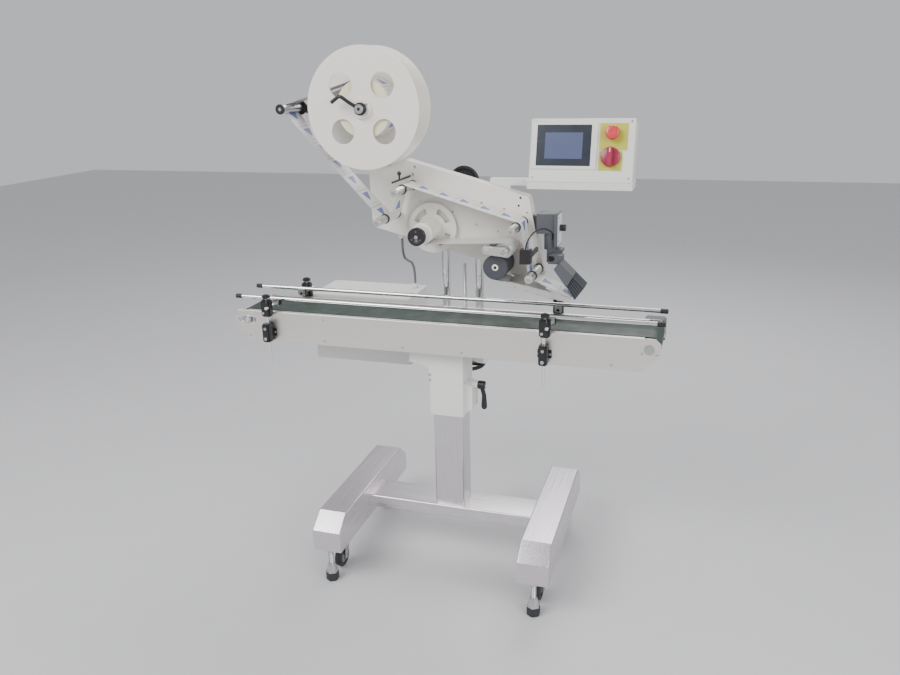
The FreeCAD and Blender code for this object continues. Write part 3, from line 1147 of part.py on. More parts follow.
# ------------------------------------------------------------------- HMI
def build_hmi():
    """Support tray from the head's back cover, and the operator's box on it."""
    x0 = HMI_X
    x1 = HMI_X + HMI_W
    z0, z1 = ARM_Z
    front = HMI_FOOT_Y - 4
    back = HMI_FOOT_Y + HMI_D + 8
    s = ARM_SHEET
    start = COVER_Y + HEAD_COVER_T
    tray = plate_xy([(ARM_LEFT_X, start), (x0 - 20, start), (x0 - 2, front), (x1 + 2, front),
                     (x1 + 2, back), (ARM_LEFT_X, back)], z0, z1)
    hollow = plate_xy([(ARM_LEFT_X + s, start + s), (x0 - 18, start + s), (x0, front + s),
                       (x1 + 2 - s, front + s), (x1 + 2 - s, back - s),
                       (ARM_LEFT_X + s, back - s)], z0 - 1, z1 - s)
    tray = tray.cut(hollow)
    hanger = box(ARM_LEFT_X, ARM_LEFT_X + 60, start, start + s, z0 - 70, z0 + 1)
    keep("hmi_arm", fuse(tray, hanger))

    body = box(x0, x1, 0, HMI_D, -20, HMI_H)
    body = body.makeFillet(4.0, [e for e in body.Edges if abs(e.Length - HMI_D) < 0.01])
    inside = box(x0 + s, x1 - s, s, HMI_D - s, -21, HMI_H - s)
    body = body.cut(inside)
    body.rotate(V(0, 0, 0), V(1, 0, 0), -HMI_LEAN)
    body.translate(V(0, HMI_FOOT_Y, z1 + 2))
    body = body.cut(box(x0 - 5, x1 + 5, 0, 400, z1 - 60, z1))

    lean = math.radians(HMI_LEAN)
    normal = V(0, -math.cos(lean), math.sin(lean))
    up = V(0, math.sin(lean), math.cos(lean))
    corner = V(x1, HMI_FOOT_Y, z1 + 2)
    stop = corner + V(-58, 0, 0) + up * 128 + normal * SLIDING
    head = Part.makeCylinder(STOP_R, 12, stop + normal * 14, normal)
    stem = Part.makeCylinder(9, 25, stop - normal * 10, normal)
    keep("emergency_stop", fuse(head, stem))
    keep("hmi_box", body.cut(Part.makeCylinder(9 + RUNNING, 20, stop - normal * 15, normal)))
    switch = corner + V(-61, 0, 0) + up * 66 + normal * SLIDING
    disc = Part.makeCylinder(SWITCH_R, 12, switch, normal)
    bar = Part.makeBox(14, 48, 16, V(-7, -24, 0))
    bar.rotate(V(0, 0, 0), V(1, 0, 0), 90 - HMI_LEAN)
    bar.translate(switch + normal * 11)
    keep("main_switch", fuse(disc, bar))


# ----------------------------------------------------------------- cable
CABLE_R = 4.0
CABLE_RUN = (              # x, y and height above the head's lowest edge
    (-168.0, 75.0, 99.0),
    (-168.0, 75.0, 54.0),
    (-171.0, 97.0, 26.0),
    (-178.0, 145.0, 6.0),
    (-186.0, 197.0, -11.0),
    (-191.0, 229.0, -36.0),
    (-192.0, 238.0, -64.0),
    (-192.0, 238.0, -97.0),
)
CABLE_POINTS = [(x, y, HEAD_Z + up) for x, y, up in CABLE_RUN]


def rounded_route(points):
    """Straight runs joined by the largest tangent arcs that they allow."""
    nodes = [V(*p) for p in points]
    edges = []
    last = nodes[0]
    for i in range(1, len(nodes) - 1):
        here = nodes[i]
        back = nodes[i - 1] - here
        ahead = nodes[i + 1] - here
        reach = 0.45 * min(back.Length, ahead.Length)
        turn = math.pi - back.getAngle(ahead)
        radius = reach / math.tan(turn / 2)
        print("cable corner %d radius %.1f" % (i, radius))
        start = here + back.normalize() * reach
        end = here + ahead.normalize() * reach
        inward = (back + ahead).normalize()
        middle = here + inward * (radius / math.cos(turn / 2) - radius)
        edges.append(Part.makeLine(last, start))
        edges.append(Part.Arc(start, middle, end).toShape())
        last = end
    edges.append(Part.makeLine(last, nodes[-1]))
    return Part.Wire(edges)


def build_cable():
    route = rounded_route(CABLE_POINTS)
    start = V(*CABLE_POINTS[0])
    direction = V(*CABLE_POINTS[1]) - start
    ring = Part.Wire([Part.makeCircle(CABLE_R, start, direction)])
    tube = route.makePipeShell([ring], True, True)
    print("cable length %.0f" % route.Length)
    print("cable volume %.0f against %.0f" % (tube.Volume, math.pi * CABLE_R ** 2 * route.Length))
    keep("head_cable", tube)


def main():
    build_base()
    build_sleeve()
    build_conveyor()
    build_conveyor_fittings()
    build_guides()
    build_cabinet()
    build_lift()
    build_head_plate()
    build_reel()
    build_dancer()
    keep("lower_left_roller", web_roller(LOWER_LEFT, ROLLER_TIP_Y))
    keep("upper_left_roller", web_roller(UPPER_LEFT, ROLLER_TIP_Y))
    keep("upper_right_roller", web_roller(UPPER_RIGHT, ROLLER_TIP_Y))
    keep("peel_roller", web_roller(PEEL_ROLLER, PEEL_ROLLER_TIP_Y))
    build_rewinder()
    build_feed()
    build_peel()
    build_web()
    build_brush()
    build_fittings()
    build_hmi()
    build_cable()
    os.makedirs("parts", exist_ok=True)
    for name, shape in parts.items():
        shape.exportStep("parts/%s.step" % name)
        bad = [s for s in shape.Solids if not s.isValid()]
        box_ = shape.BoundBox
        print("%-26s solids %2d bad %d vol %9.0f  x %7.1f %7.1f  y %7.1f %7.1f  z %7.1f %7.1f" % (
            name, len(shape.Solids), len(bad), shape.Volume, box_.XMin, box_.XMax, box_.YMin,
            box_.YMax, box_.ZMin, box_.ZMax))
    print(len(parts), "nodes")


main()
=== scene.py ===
"""Looks of the bottle labelling machine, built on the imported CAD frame."""

import bpy
import bmesh
import json
import math
from mathutils import Matrix, Vector


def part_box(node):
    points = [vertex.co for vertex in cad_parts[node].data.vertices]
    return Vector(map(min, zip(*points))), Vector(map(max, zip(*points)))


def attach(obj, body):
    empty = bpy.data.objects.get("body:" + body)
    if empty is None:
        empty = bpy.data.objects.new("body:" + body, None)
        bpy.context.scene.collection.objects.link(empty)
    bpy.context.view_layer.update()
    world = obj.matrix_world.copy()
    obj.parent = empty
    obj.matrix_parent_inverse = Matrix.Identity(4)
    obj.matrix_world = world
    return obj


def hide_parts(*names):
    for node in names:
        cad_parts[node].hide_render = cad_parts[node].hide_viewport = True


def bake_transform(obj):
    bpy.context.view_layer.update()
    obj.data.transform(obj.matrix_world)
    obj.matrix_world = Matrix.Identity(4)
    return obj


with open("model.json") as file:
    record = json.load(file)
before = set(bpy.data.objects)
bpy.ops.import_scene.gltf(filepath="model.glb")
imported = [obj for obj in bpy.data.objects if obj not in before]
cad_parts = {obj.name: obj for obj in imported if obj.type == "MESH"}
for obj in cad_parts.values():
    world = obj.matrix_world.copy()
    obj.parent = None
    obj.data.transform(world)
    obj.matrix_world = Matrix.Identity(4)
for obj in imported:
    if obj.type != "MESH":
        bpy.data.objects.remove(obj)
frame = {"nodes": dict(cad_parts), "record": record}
NODE_BODY = {n: b for b, ns in frame["record"]["behaviour"]["bodies"].items() for n in ns}
MM = 0.001
X, Y, Z = Vector((1, 0, 0)), Vector((0, 1, 0)), Vector((0, 0, 1))
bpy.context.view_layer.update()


# ------------------------------------------------------------- materials
def shader(name, color, rough, metal=0.0):
    """A principled material with a single colour and finish."""
    mat = bpy.data.materials.new(name)
    mat.use_nodes = True
    tree = mat.node_tree
    bsdf = tree.nodes["Principled BSDF"]
    bsdf.inputs["Metallic"].default_value = metal
    bsdf.inputs["Roughness"].default_value = rough
    bsdf.inputs["Base Color"].default_value = (*color, 1)
    return mat, tree, bsdf


def object_noise(tree, scale, detail=3.0, stretch=(1, 1, 1)):
    coords = tree.nodes.new("ShaderNodeTexCoord")
    mapping = tree.nodes.new("ShaderNodeMapping")
    mapping.inputs["Scale"].default_value = stretch
    noise = tree.nodes.new("ShaderNodeTexNoise")
    noise.inputs["Scale"].default_value = scale
    noise.inputs["Detail"].default_value = detail
    tree.links.new(coords.outputs["Object"], mapping.inputs["Vector"])
    tree.links.new(mapping.outputs["Vector"], noise.inputs["Vector"])
    return noise


def spread(tree, noise, low, high):
    """Noise turned into values from low to high."""
    node = tree.nodes.new("ShaderNodeMapRange")
    node.inputs["From Min"].default_value = 0.3
    node.inputs["From Max"].default_value = 0.7
    node.inputs["To Min"].default_value = low
    node.inputs["To Max"].default_value = high
    tree.links.new(noise.outputs["Fac"], node.inputs["Value"])
    return node


def tint(tree, bsdf, noise, color, amount):
    """Colour that drifts a little either side of its mean."""
    mix = tree.nodes.new("ShaderNodeMix")
    mix.data_type = "RGBA"
    darker = [c * (1 - amount) for c in color]
    lighter = [min(1.0, c * (1 + amount)) for c in color]
    mix.inputs[6].default_value = (*darker, 1)
    mix.inputs[7].default_value = (*lighter, 1)
    tree.links.new(noise.outputs["Fac"], mix.inputs[0])
    tree.links.new(mix.outputs[2], bsdf.inputs["Base Color"])


def bump(tree, bsdf, noise, strength, distance=0.0005):
    node = tree.nodes.new("ShaderNodeBump")
    node.inputs["Strength"].default_value = strength
    node.inputs["Distance"].default_value = distance
    tree.links.new(noise.outputs["Fac"], node.inputs["Height"])
    tree.links.new(node.outputs["Normal"], bsdf.inputs["Normal"])


def plain(name, color, rough, metal=0.0, vary=0.06, grain=900.0, grain_strength=0.08, coat=0.0):
    """Paint, plastic or rubber: soft mottling and a fine surface grain."""
    mat, tree, bsdf = shader(name, color, rough, metal)
    tint(tree, bsdf, object_noise(tree, 6.0), color, vary)
    fine = object_noise(tree, grain, 2.0)
    bump(tree, bsdf, fine, grain_strength)
    soft = spread(tree, object_noise(tree, 25.0), rough * 0.85, min(1.0, rough * 1.15))
    tree.links.new(soft.outputs["Result"], bsdf.inputs["Roughness"])
    bsdf.inputs["Coat Weight"].default_value = coat
    bsdf.inputs["Coat Roughness"].default_value = 0.15
    return mat


def brushed(name, color, rough, along, vary=0.10, strength=0.25):
    """Metal with fine grinding lines along one axis of the part."""
    mat, tree, bsdf = shader(name, color, rough, 1.0)
    stretch = [260.0, 260.0, 260.0]
    stretch["xyz".index(along)] = 4.0
    lines = object_noise(tree, 1.0, 4.0, stretch)
    tint(tree, bsdf, lines, color, vary)
    bump(tree, bsdf, lines, strength, 0.0002)
    soft = spread(tree, lines, rough * 0.8, rough * 1.25)
    tree.links.new(soft.outputs["Result"], bsdf.inputs["Roughness"])
    return mat


STAINLESS_Z = brushed("stainless_upright", (0.70, 0.66, 0.69), 0.30, "z")
STAINLESS_Y = brushed("stainless_foot", (0.72, 0.67, 0.71), 0.30, "y")
STAINLESS_X = brushed("stainless_beam", (0.72, 0.68, 0.70), 0.30, "x")
PANEL = brushed("stainless_panel", (0.86, 0.83, 0.77), 0.34, "x", 0.05, 0.12)
ALUMINIUM = brushed("turned_aluminium", (0.78, 0.77, 0.75), 0.32, "y", 0.05, 0.12)
CHROME = plain("chromed_steel", (0.82, 0.82, 0.82), 0.12, 1.0, 0.03, 400.0, 0.02)
STEEL = plain("zinc_steel", (0.55, 0.55, 0.55), 0.35, 1.0, 0.10, 500.0, 0.10)
WHITE = plain("white_powder_coat", (0.80, 0.79, 0.76), 0.42, 0.0, 0.02, 1200.0, 0.10)
CREAM = plain("cream_powder_coat", (0.80, 0.765, 0.70), 0.40, 0.0, 0.02, 1200.0, 0.10)
HMI_WHITE = plain("off_white_powder_coat", (0.74, 0.745, 0.70), 0.42, 0.0, 0.02, 1200.0, 0.10)
IVORY = plain("ivory_plastic", (0.82, 0.79, 0.72), 0.38, 0.0, 0.02, 700.0, 0.05)
ROLL_SIDE = plain("wound_paper", (0.78, 0.73, 0.52), 0.75, 0.0, 0.05, 600.0, 0.30)
BLACK = plain("black_plastic", (0.014, 0.014, 0.016), 0.42, 0.0, 0.2, 900.0, 0.15)
RUBBER = plain("black_rubber", (0.030, 0.032, 0.036), 0.62, 0.0, 0.2, 700.0, 0.25)
DRIVE_RUBBER = plain("drive_rubber", (0.050, 0.054, 0.064), 0.60, 0.0, 0.12, 500.0, 0.35)
DARK = plain("dark_grey_plastic", (0.085, 0.09, 0.10), 0.50, 0.0, 0.12, 800.0, 0.20)
GREY = plain("grey_plastic", (0.22, 0.22, 0.23), 0.5, 0.0, 0.08, 800.0, 0.15)
BELT = plain("belt_pvc", (0.020, 0.040, 0.030), 0.50, 0.0, 0.2, 260.0, 0.35)
RED = plain("red_plastic", (0.62, 0.045, 0.05), 0.30, 0.0, 0.05, 700.0, 0.04, 0.3)
CRIMSON = plain("crimson_plastic", (0.34, 0.012, 0.055), 0.34, 0.0, 0.05, 700.0, 0.04, 0.3)
YELLOW = plain("yellow_plate", (0.52, 0.50, 0.06), 0.45, 0.0, 0.05, 900.0, 0.05)
SCREEN = plain("panel_bezel", (0.016, 0.022, 0.034), 0.25, 0.0, 0.1, 600.0, 0.03, 0.4)
DISPLAY = plain("panel_display", (0.085, 0.105, 0.20), 0.16, 0.0, 0.06, 300.0, 0.0, 0.6)
CABLE = plain("cable_sheath", (0.16, 0.16, 0.165), 0.5, 0.0, 0.08, 900.0, 0.10)
BRASS = plain("brass_bush", (0.60, 0.44, 0.18), 0.32, 1.0, 0.06, 500.0, 0.05)
BRISTLE = plain("brush_hair", (0.055, 0.06, 0.068), 0.85, 0.0, 0.25, 1500.0, 0.9)
WASTE = plain("spent_backing", (0.66, 0.655, 0.63), 0.45, 0.0, 0.03, 300.0, 0.05)
PEEL_TIP = (385.0, 873.0)    # round the blade, in x and z
NIP_FRONT = -44.0


def label_print(name, pitch):
    """Repeating blue-and-white labels on a clear strip, drawn from the UV map
    with u along the web and v across it, both in metres."""
    mat, tree, bsdf = shader(name, (0.78, 0.77, 0.72), 0.38)
    new, link = tree.nodes.new, tree.links.new

    def calc(op, a, b=None, clamp=False):
        node = new("ShaderNodeMath")
        node.operation = op
        node.use_clamp = clamp
        for i, value in enumerate((a, b)):
            if value is None:
                continue
            if isinstance(value, (int, float)):
                node.inputs[i].default_value = value
            else:
                link(value, node.inputs[i])
        return node.outputs[0]

    def paint(below, color, mask):
        mix = new("ShaderNodeMix")
        mix.data_type = "RGBA"
        if isinstance(below, tuple):
            mix.inputs[6].default_value = (*below, 1)
        else:
            link(below, mix.inputs[6])
        mix.inputs[7].default_value = (*color, 1)
        link(mask, mix.inputs[0])
        return mix.outputs[2]

    uv = new("ShaderNodeUVMap")
    uv.uv_map = "UVMap"
    split = new("ShaderNodeSeparateXYZ")
    link(uv.outputs["UV"], split.inputs[0])
    along = calc("FRACT", calc("DIVIDE", split.outputs[0], pitch))
    across = split.outputs[1]

    def band(value, low, high):
        return calc("MULTIPLY", calc("GREATER_THAN", value, low), calc("LESS_THAN", value, high))

    label = calc("MULTIPLY", band(along, 0.05, 0.95), band(across, -0.036, 0.036))
    edge_up = calc("ADD", calc("MULTIPLY", along, 0.030), -0.022)
    edge_down = calc("ADD", calc("MULTIPLY", along, -0.044), 0.030)
    flag = calc("MULTIPLY", band(along, 0.16, 0.74),
                calc("MULTIPLY", calc("GREATER_THAN", across, edge_up),
                     calc("LESS_THAN", across, edge_down)))
    notch = calc("MULTIPLY", band(along, 0.58, 0.70), band(across, -0.006, 0.002))
    flag = calc("MULTIPLY", flag, calc("SUBTRACT", 1.0, notch))
    foot = calc("MULTIPLY", band(along, 0.78, 0.86), band(across, -0.020, 0.018))
    dash = calc("GREATER_THAN", calc("FRACT", calc("MULTIPLY", across, 170.0)), 0.45)
    color = paint((0.66, 0.65, 0.58), (0.82, 0.82, 0.82), label)
    color = paint(color, (0.16, 0.20, 0.48), calc("MULTIPLY", flag, label))
    color = paint(color, (0.50, 0.36, 0.30), calc("MULTIPLY", calc("MULTIPLY", foot, dash), 0.55))
    link(color, bsdf.inputs["Base Color"])
    bump(tree, bsdf, object_noise(tree, 500.0), 0.05)
    return mat


LABELS = label_print("printed_labels", 0.062)


# ------------------------------------------------------------- modelling
def frame_of(direction):
    """Three axes with the third along direction."""
    w = Vector(direction).normalized()
    u = (Z if abs(w.z) < 0.9 else X).cross(w).normalized()
    return u, w.cross(u), w


def polar(r, degrees):
    a = math.radians(degrees)
    return r * math.cos(a), r * math.sin(a)


def round_points(r, count):
    """Points of a circle, as pairs."""
    return [polar(r, 360 * i / count) for i in range(count)]


def show(name, mesh, smooth):
    """Object of a finished mesh, with its flat edges kept sharp."""
    mesh.shade_smooth()
    mesh.set_sharp_from_angle(angle=math.radians(smooth))
    obj = bpy.data.objects.new(name, mesh)
    bpy.context.scene.collection.objects.link(obj)
    return obj


class Build:
    """Collects solids, in millimetres in the row frame, into one piece."""

    def __init__(self, name, body, replaces=()):
        self.name, self.body, self.replaced = name, body, replaces
        self.bm = bmesh.new()
        self.mats = []

    def slot(self, mat):
        if mat not in self.mats:
            self.mats.append(mat)
        return self.mats.index(mat)

    def take(self, other, mat):
        """Move a finished bmesh into this piece."""
        index = self.slot(mat)
        for face in other.faces:
            face.material_index = index
        mesh = bpy.data.meshes.new("part")
        other.to_mesh(mesh)
        other.free()
        self.bm.from_mesh(mesh)
        bpy.data.meshes.remove(mesh)
        return self

    def prism(self, points, origin, u, v, depth, mat, bevel=0.0):
        """Flat outline in the u-v plane, drawn out along u x v by depth."""
        part = bmesh.new()
        o, u, v = Vector(origin), Vector(u), Vector(v)
        w = u.cross(v).normalized() * depth
        low = [part.verts.new(o + u * p[0] + v * p[1]) for p in points]
        high = [part.verts.new(o + u * p[0] + v * p[1] + w) for p in points]
        part.faces.new(list(reversed(low)))
        part.faces.new(high)
        count = len(points)
        for i in range(count):
            j = (i + 1) % count
            part.faces.new((low[i], low[j], high[j], high[i]))
        bmesh.ops.recalc_face_normals(part, faces=part.faces)
        if bevel:
            edges = [e for e in part.edges if len(e.link_faces) == 2 and e.calc_face_angle(0) > 0.5]
            bmesh.ops.bevel(part, geom=edges, offset=bevel, segments=2, affect="EDGES", clamp_overlap=True)
        return self.take(part, mat)

    def box(self, lo, hi, mat, bevel=0.8):
        lo, hi = Vector(lo), Vector(hi)
        d = hi - lo
        points = [(0, 0), (d.x, 0), (d.x, d.y), (0, d.y)]
        return self.prism(points, lo, X, Y, d.z, mat, min(bevel, min(d) * 0.3))

    def lathe(self, start, direction, profile, mat, seg=40):
        """Turned solid: profile is (radius, distance along the axis)."""
        part = bmesh.new()
        o = Vector(start)
        u, v, w = frame_of(direction)
        rings = []
        for r, h in profile:
            if r < 1e-6:
                rings.append([part.verts.new(o + w * h)])
                continue
            rings.append([part.verts.new(o + w * h + (u * math.cos(a) + v * math.sin(a)) * r)
                          for a in [2 * math.pi * i / seg for i in range(seg)]])
        for a, b in zip(rings, rings[1:]):
            for i in range(seg):
                j = (i + 1) % seg
                quad = [a[i % len(a)], a[j % len(a)], b[j % len(b)], b[i % len(b)]]
                quad = list(dict.fromkeys(quad))
                if len(quad) > 2:
                    part.faces.new(quad)
        bmesh.ops.recalc_face_normals(part, faces=part.faces)
        return self.take(part, mat)

    def cyl(self, start, end, r, mat, seg=32, bevel=0.6, r2=None):
        start, end = Vector(start), Vector(end)
        length = (end - start).length
        r2 = r if r2 is None else r2
        c = min(bevel, r * 0.4, length * 0.3)
        profile = [(0, 0), (r - c, 0), (r, c), (r2, length - c), (r2 - c, length), (0, length)]
        return self.lathe(start, end - start, profile, mat, seg)

    def pin(self, c, y0, y1, r, mat, seg=32, bevel=0.6):
        """Round bar along +Y through the middle c."""
        return self.cyl((c.x, y0, c.z), (c.x, y1, c.z), r, mat, seg, bevel)

    def turn(self, c, y, profile, mat, seg=40):
        """Turned solid along +Y from y, about the middle c."""
        return self.lathe((c.x, y, c.z), Y, profile, mat, seg)

    def ring(self, centre, direction, radius, r, mat, seg=48, sides=14):
        profile = [(radius + r * math.cos(a), r * math.sin(a))
                   for a in [2 * math.pi * i / sides for i in range(sides + 1)]]
        return self.lathe(centre, direction, profile, mat, seg)

    def tube(self, points, r, mat, sides=14):
        """Round bar along a smooth path through the points."""
        part = bmesh.new()
        path = [Vector(p) for p in points]
        u = frame_of(path[1] - path[0])[0]
        rings = []
        for i, p in enumerate(path):
            ahead = (path[min(i + 1, len(path) - 1)] - path[max(i - 1, 0)]).normalized()
            u = (u - ahead * u.dot(ahead)).normalized()
            v = ahead.cross(u)
            rings.append([part.verts.new(p + (u * math.cos(a) + v * math.sin(a)) * r)
                          for a in [2 * math.pi * k / sides for k in range(sides)]])
        for a, b in zip(rings, rings[1:]):
            for k in range(sides):
                m = (k + 1) % sides
                part.faces.new((a[k], a[m], b[m], b[k]))
        part.faces.new(list(reversed(rings[0])))
        part.faces.new(rings[-1])
        bmesh.ops.recalc_face_normals(part, faces=part.faces)
        return self.take(part, mat)

    def screw(self, at, direction, r, h, mat=None):
        """Socket cap screw with its hexagon recess."""
        mat = mat or STEEL
        o, w = Vector(at), Vector(direction).normalized()
        profile = [(0, 0), (r, 0), (r, h * 0.75), (r * 0.85, h), (r * 0.52, h), (r * 0.48, h * 0.35),
                   (0, h * 0.35)]
        return self.lathe(o, w, profile, mat, 18)

    def hexagon(self, at, direction, across, h, mat, bevel=0.8):
        u, v = frame_of(direction)[:2]
        return self.prism(round_points(across / 2 / math.cos(math.pi / 6), 6), at, u, v, h, mat, bevel)

    def done(self, smooth=32):
        bmesh.ops.scale(self.bm, vec=(MM, MM, MM), verts=self.bm.verts)
        mesh = bpy.data.meshes.new(self.name)
        self.bm.to_mesh(mesh)
        self.bm.free()
        for mat in self.mats:
            mesh.materials.append(mat)
        obj = show(self.name, mesh, smooth)
        if self.body:
            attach(obj, self.body)
        if self.replaced:
            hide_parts(*self.replaced)
        return obj


def dress(node, mat, bevel=0.8):
    """The CAD solid itself, cleaned, with softened edges and its material."""
    source = frame["nodes"][node]
    part = bmesh.new()
    part.from_mesh(source.data)
    bmesh.ops.remove_doubles(part, verts=part.verts, dist=2e-6)
    bmesh.ops.dissolve_limit(part, angle_limit=math.radians(0.8), verts=part.verts, edges=part.edges)
    mesh = bpy.data.meshes.new(node + "_skin")
    part.to_mesh(mesh)
    part.free()
    mesh.materials.clear()
    mesh.materials.append(mat)
    obj = show(mesh.name, mesh, 32)
    if bevel:
        mod = obj.modifiers.new("edges", "BEVEL")
        mod.width = bevel * MM
        mod.segments = 2
        mod.limit_method = "ANGLE"
        mod.angle_limit = math.radians(40)
        mod.harden_normals = True
    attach(obj, NODE_BODY[node])
    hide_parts(node)
    return obj


def stand_in(name, node):
    """Piece made anew in place of a CAD node, on that node's body."""
    return Build(name, NODE_BODY[node], [node])


def low_high(node):
    """A node's box, in millimetres."""
    lo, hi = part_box(node)
    return lo / MM, hi / MM


def middle(node):
    lo, hi = low_high(node)
    return (lo + hi) / 2


# ------------------------------------------------------------------ base
def build_base():
    """Feet, beam and column in ground stainless, on pads and casters."""
    for node in ("left_foot", "right_foot"):
        dress(node, STAINLESS_Y, 1.0)
    dress("cross_beam", STAINLESS_X, 0.6)
    dress("column_tube", STAINLESS_Z, 0.6)
    lo, hi = low_high("levelling_feet")
    foot_bottom = low_high("left_foot")[0].z
    pads = stand_in("levelling_feet_fitted", "levelling_feet")
    inset = 18.0 / math.cos(math.pi / 6)
    for x in (middle("left_foot").x, middle("right_foot").x):
        for y in (lo.y + inset, hi.y - inset):
            pads.hexagon((x, y, 0), Z, 36, 26, RUBBER, 2.0)
            pads.hexagon((x, y, 26), Z, 34, 7, STEEL, 1.0)
            pads.lathe((x, y, 32.5), Z, [(0, 0), (16.5, 0), (15, 6), (11, 22), (10, 24), (0, 24)], STEEL)
            profile = [(0, 56)]
            for i in range(28):
                profile += [(8.0, 56 + 2 * i), (7.3, 57 + 2 * i)]
            profile += [(7.0, hi.z - 1), (0, hi.z - 1)]
            pads.lathe((x, y, 0), Z, profile, STEEL, 24)
            pads.hexagon((x, y, foot_bottom - 11), Z, 24, 10, STEEL, 1.0)
    pads.done()
    for end in ("front", "rear"):
        for side in ("left", "right"):
            build_caster(end + "_" + side)


def build_caster(place):
    fork_node, wheel_node = "caster_fork_" + place, "caster_wheel_" + place
    dress(fork_node, STEEL, 0.6)
    c = middle(wheel_node)
    lo, hi = low_high(wheel_node)
    r, half = (hi.z - lo.z) / 2, (hi.x - lo.x) / 2 - 1
    wheel = stand_in(wheel_node + "_tyred", wheel_node)
    start = c - X * half
    tread = [(r - 12, 0), (r - 5, 0), (r - 1.5, 2), (r - 0.2, 6), (r, half), (r - 0.2, 2 * half - 6),
             (r - 1.5, 2 * half - 2), (r - 5, 2 * half), (r - 12, 2 * half), (r - 12, 0)]
    wheel.lathe(start, X, tread, RUBBER, 48)
    hub = [(5, -1), (9, -1), (9, 2), (12, 4), (r - 12, 4), (r - 11, 1), (r - 11, 2 * half - 1),
           (r - 12, 2 * half - 4), (12, 2 * half - 4), (9, 2 * half - 2), (9, 2 * half + 1),
           (5, 2 * half + 1), (5, -1)]
    wheel.lathe(start, X, hub, GREY, 40)
    wheel.done()


# ---------------------------------------------------------------- sleeve
def build_sleeve():
    dress("column_sleeve", WHITE, 0.9)
    dress("conveyor_saddle", WHITE, 0.9)
    lo, hi = low_high("conveyor_saddle")
    slo, shi = low_high("column_sleeve")
    screws = Build("sleeve_screws", "machine")
    left = middle("column_tube").x - 53
    front = lo.y
    for z in (lo.z + 10, lo.z + 26):
        screws.screw((left + 3, front + 0.5, z), -Y, 4.0, 3.0)
    for z in (slo.z + 24, shi.z - 30):
        screws.screw((shi.x - 12, 18, z), X, 4.5, 2.6)
    for y in (-34, 34):
        screws.screw((left + 0.5, y, slo.z + 20), -X, 4.0, 2.6)
        screws.screw((left + 0.5, y, shi.z - 16), -X, 4.0, 2.6)
    screws.done()

    lo, hi = low_high("column_clamp_lever")
    hub = Vector((hi.x - 16, 0, hi.z - 13))
    lever = stand_in("clamp_lever_moulded", "column_clamp_lever")
    lever.cyl((lo.x, 0, hub.z), (hub.x - 4, 0, hub.z), 5, STEEL)
    lever.cyl((hub.x - 11, 0, hub.z), (hub.x + 11, 0, hub.z), 13, BLACK, 40, 2.5)
    lever.cyl((hub.x + 10.5, 0, hub.z), (hub.x + 12.5, 0, hub.z), 6, STEEL, 24)
    path = [(hub.x + 1, 0, hub.z - 6), (hub.x + 2, 0, hub.z - 14), (hub.x + 5, 0, hub.z - 24),
            (hub.x + 7, 0, hub.z - 34)]
    lever.tube(path, 6.5, BLACK, 20)
    lever.lathe(path[-1], -Z, [(0, -5), (6, -5), (6.6, 0), (8.6, 26), (8.9, 34), (8, 39), (5, 42.6),
                               (0, 43.4)], BLACK)
    lever.done()


# -------------------------------------------------------------- conveyor
GEARBOX_DEPTH = 52.0
FIN_COUNT, FIN_PITCH = 13, 7.0


def build_conveyor():
    for node in ("front_side_panel", "rear_side_panel"):
        dress(node, PANEL, 0.9)
    dress("slider_bed", PANEL, 0)
    dress("conveyor_belt", BELT, 0)
    lo, hi = low_high("front_side_panel")
    for node in ("drive_drum", "tail_roller"):
        dress(node, CHROME, 0.5)
    front = lo.y
    fixings = Build("panel_screws", "machine")
    low, high = lo.z + 14, hi.z - 15
    spread_x = [lo.x + d for d in (49, 300, 550, 728, 955, 1150)]
    upper_x = (lo.x + 8, spread_x[1], spread_x[4] + 8)
    for xs, z, r, h in ((spread_x, low, 3.6, 2.2), (upper_x, high, 3.2, 2.0)):
        for x in xs:
            fixings.screw((x, front + 0.3, z), -Y, r, h)
            fixings.screw((x, -front - 0.3, z), Y, r, h)
    drive, tail = middle("drive_drum"), middle("tail_roller")
    for sign in (-1, 1):
        face = Vector((0, sign * -front, 0))
        out = Y * sign
        fixings.lathe(Vector((drive.x, 0, drive.z)) + face, out,
                      [(0, 0.05), (14.5, 0.05), (14.5, 1.6), (13, 2.2), (10, 2.2), (9.4, 1.2), (0, 1.2)],
                      STEEL)
        fixings.lathe(Vector((tail.x, 0, tail.z)) + face, out,
                      [(8.3, 0.05), (13, 0.05), (13, 1.4), (12.2, 1.9), (9, 1.9), (8.3, 1.4), (8.3, 0.05)],
                      STEEL)
        for dx in (-19, 19):
            fixings.screw(Vector((drive.x + dx, 0, drive.z - 12)) + face * 0.997, out, 3.2, 2.0)
    fixings.done()

    motor = stand_in("gearmotor_fitted", "belt_gearmotor")
    lo = low_high("belt_gearmotor")[0]
    back = lo.y + GEARBOX_DEPTH
    motor.box((drive.x - 30, lo.y, drive.z - 36), (drive.x + 30, back, drive.z + 26), DARK, 4)
    for dx in (-22, 22):
        for dz in (-28, 18):
            motor.screw((drive.x + dx, back - 0.4, drive.z + dz), Y, 3.4, 2.4)
    motor.cyl((drive.x, back - 1, drive.z), (drive.x, back + 3, drive.z), 15, STEEL)
    axis_y, axis_z = lo.y + 28, drive.z - 8
    motor.cyl((lo.x, axis_y, axis_z), (drive.x - 29, axis_y, axis_z), 26, DARK, 40, 2)
    for i in range(FIN_COUNT):
        x = lo.x + 22 + FIN_PITCH * i
        motor.cyl((x, axis_y, axis_z), (x + 2.4, axis_y, axis_z), 29, DARK, 40, 0.4)
    motor.cyl((lo.x, axis_y, axis_z), (lo.x + 16, axis_y, axis_z), 28.6, BLACK, 40, 3)
    motor.done()


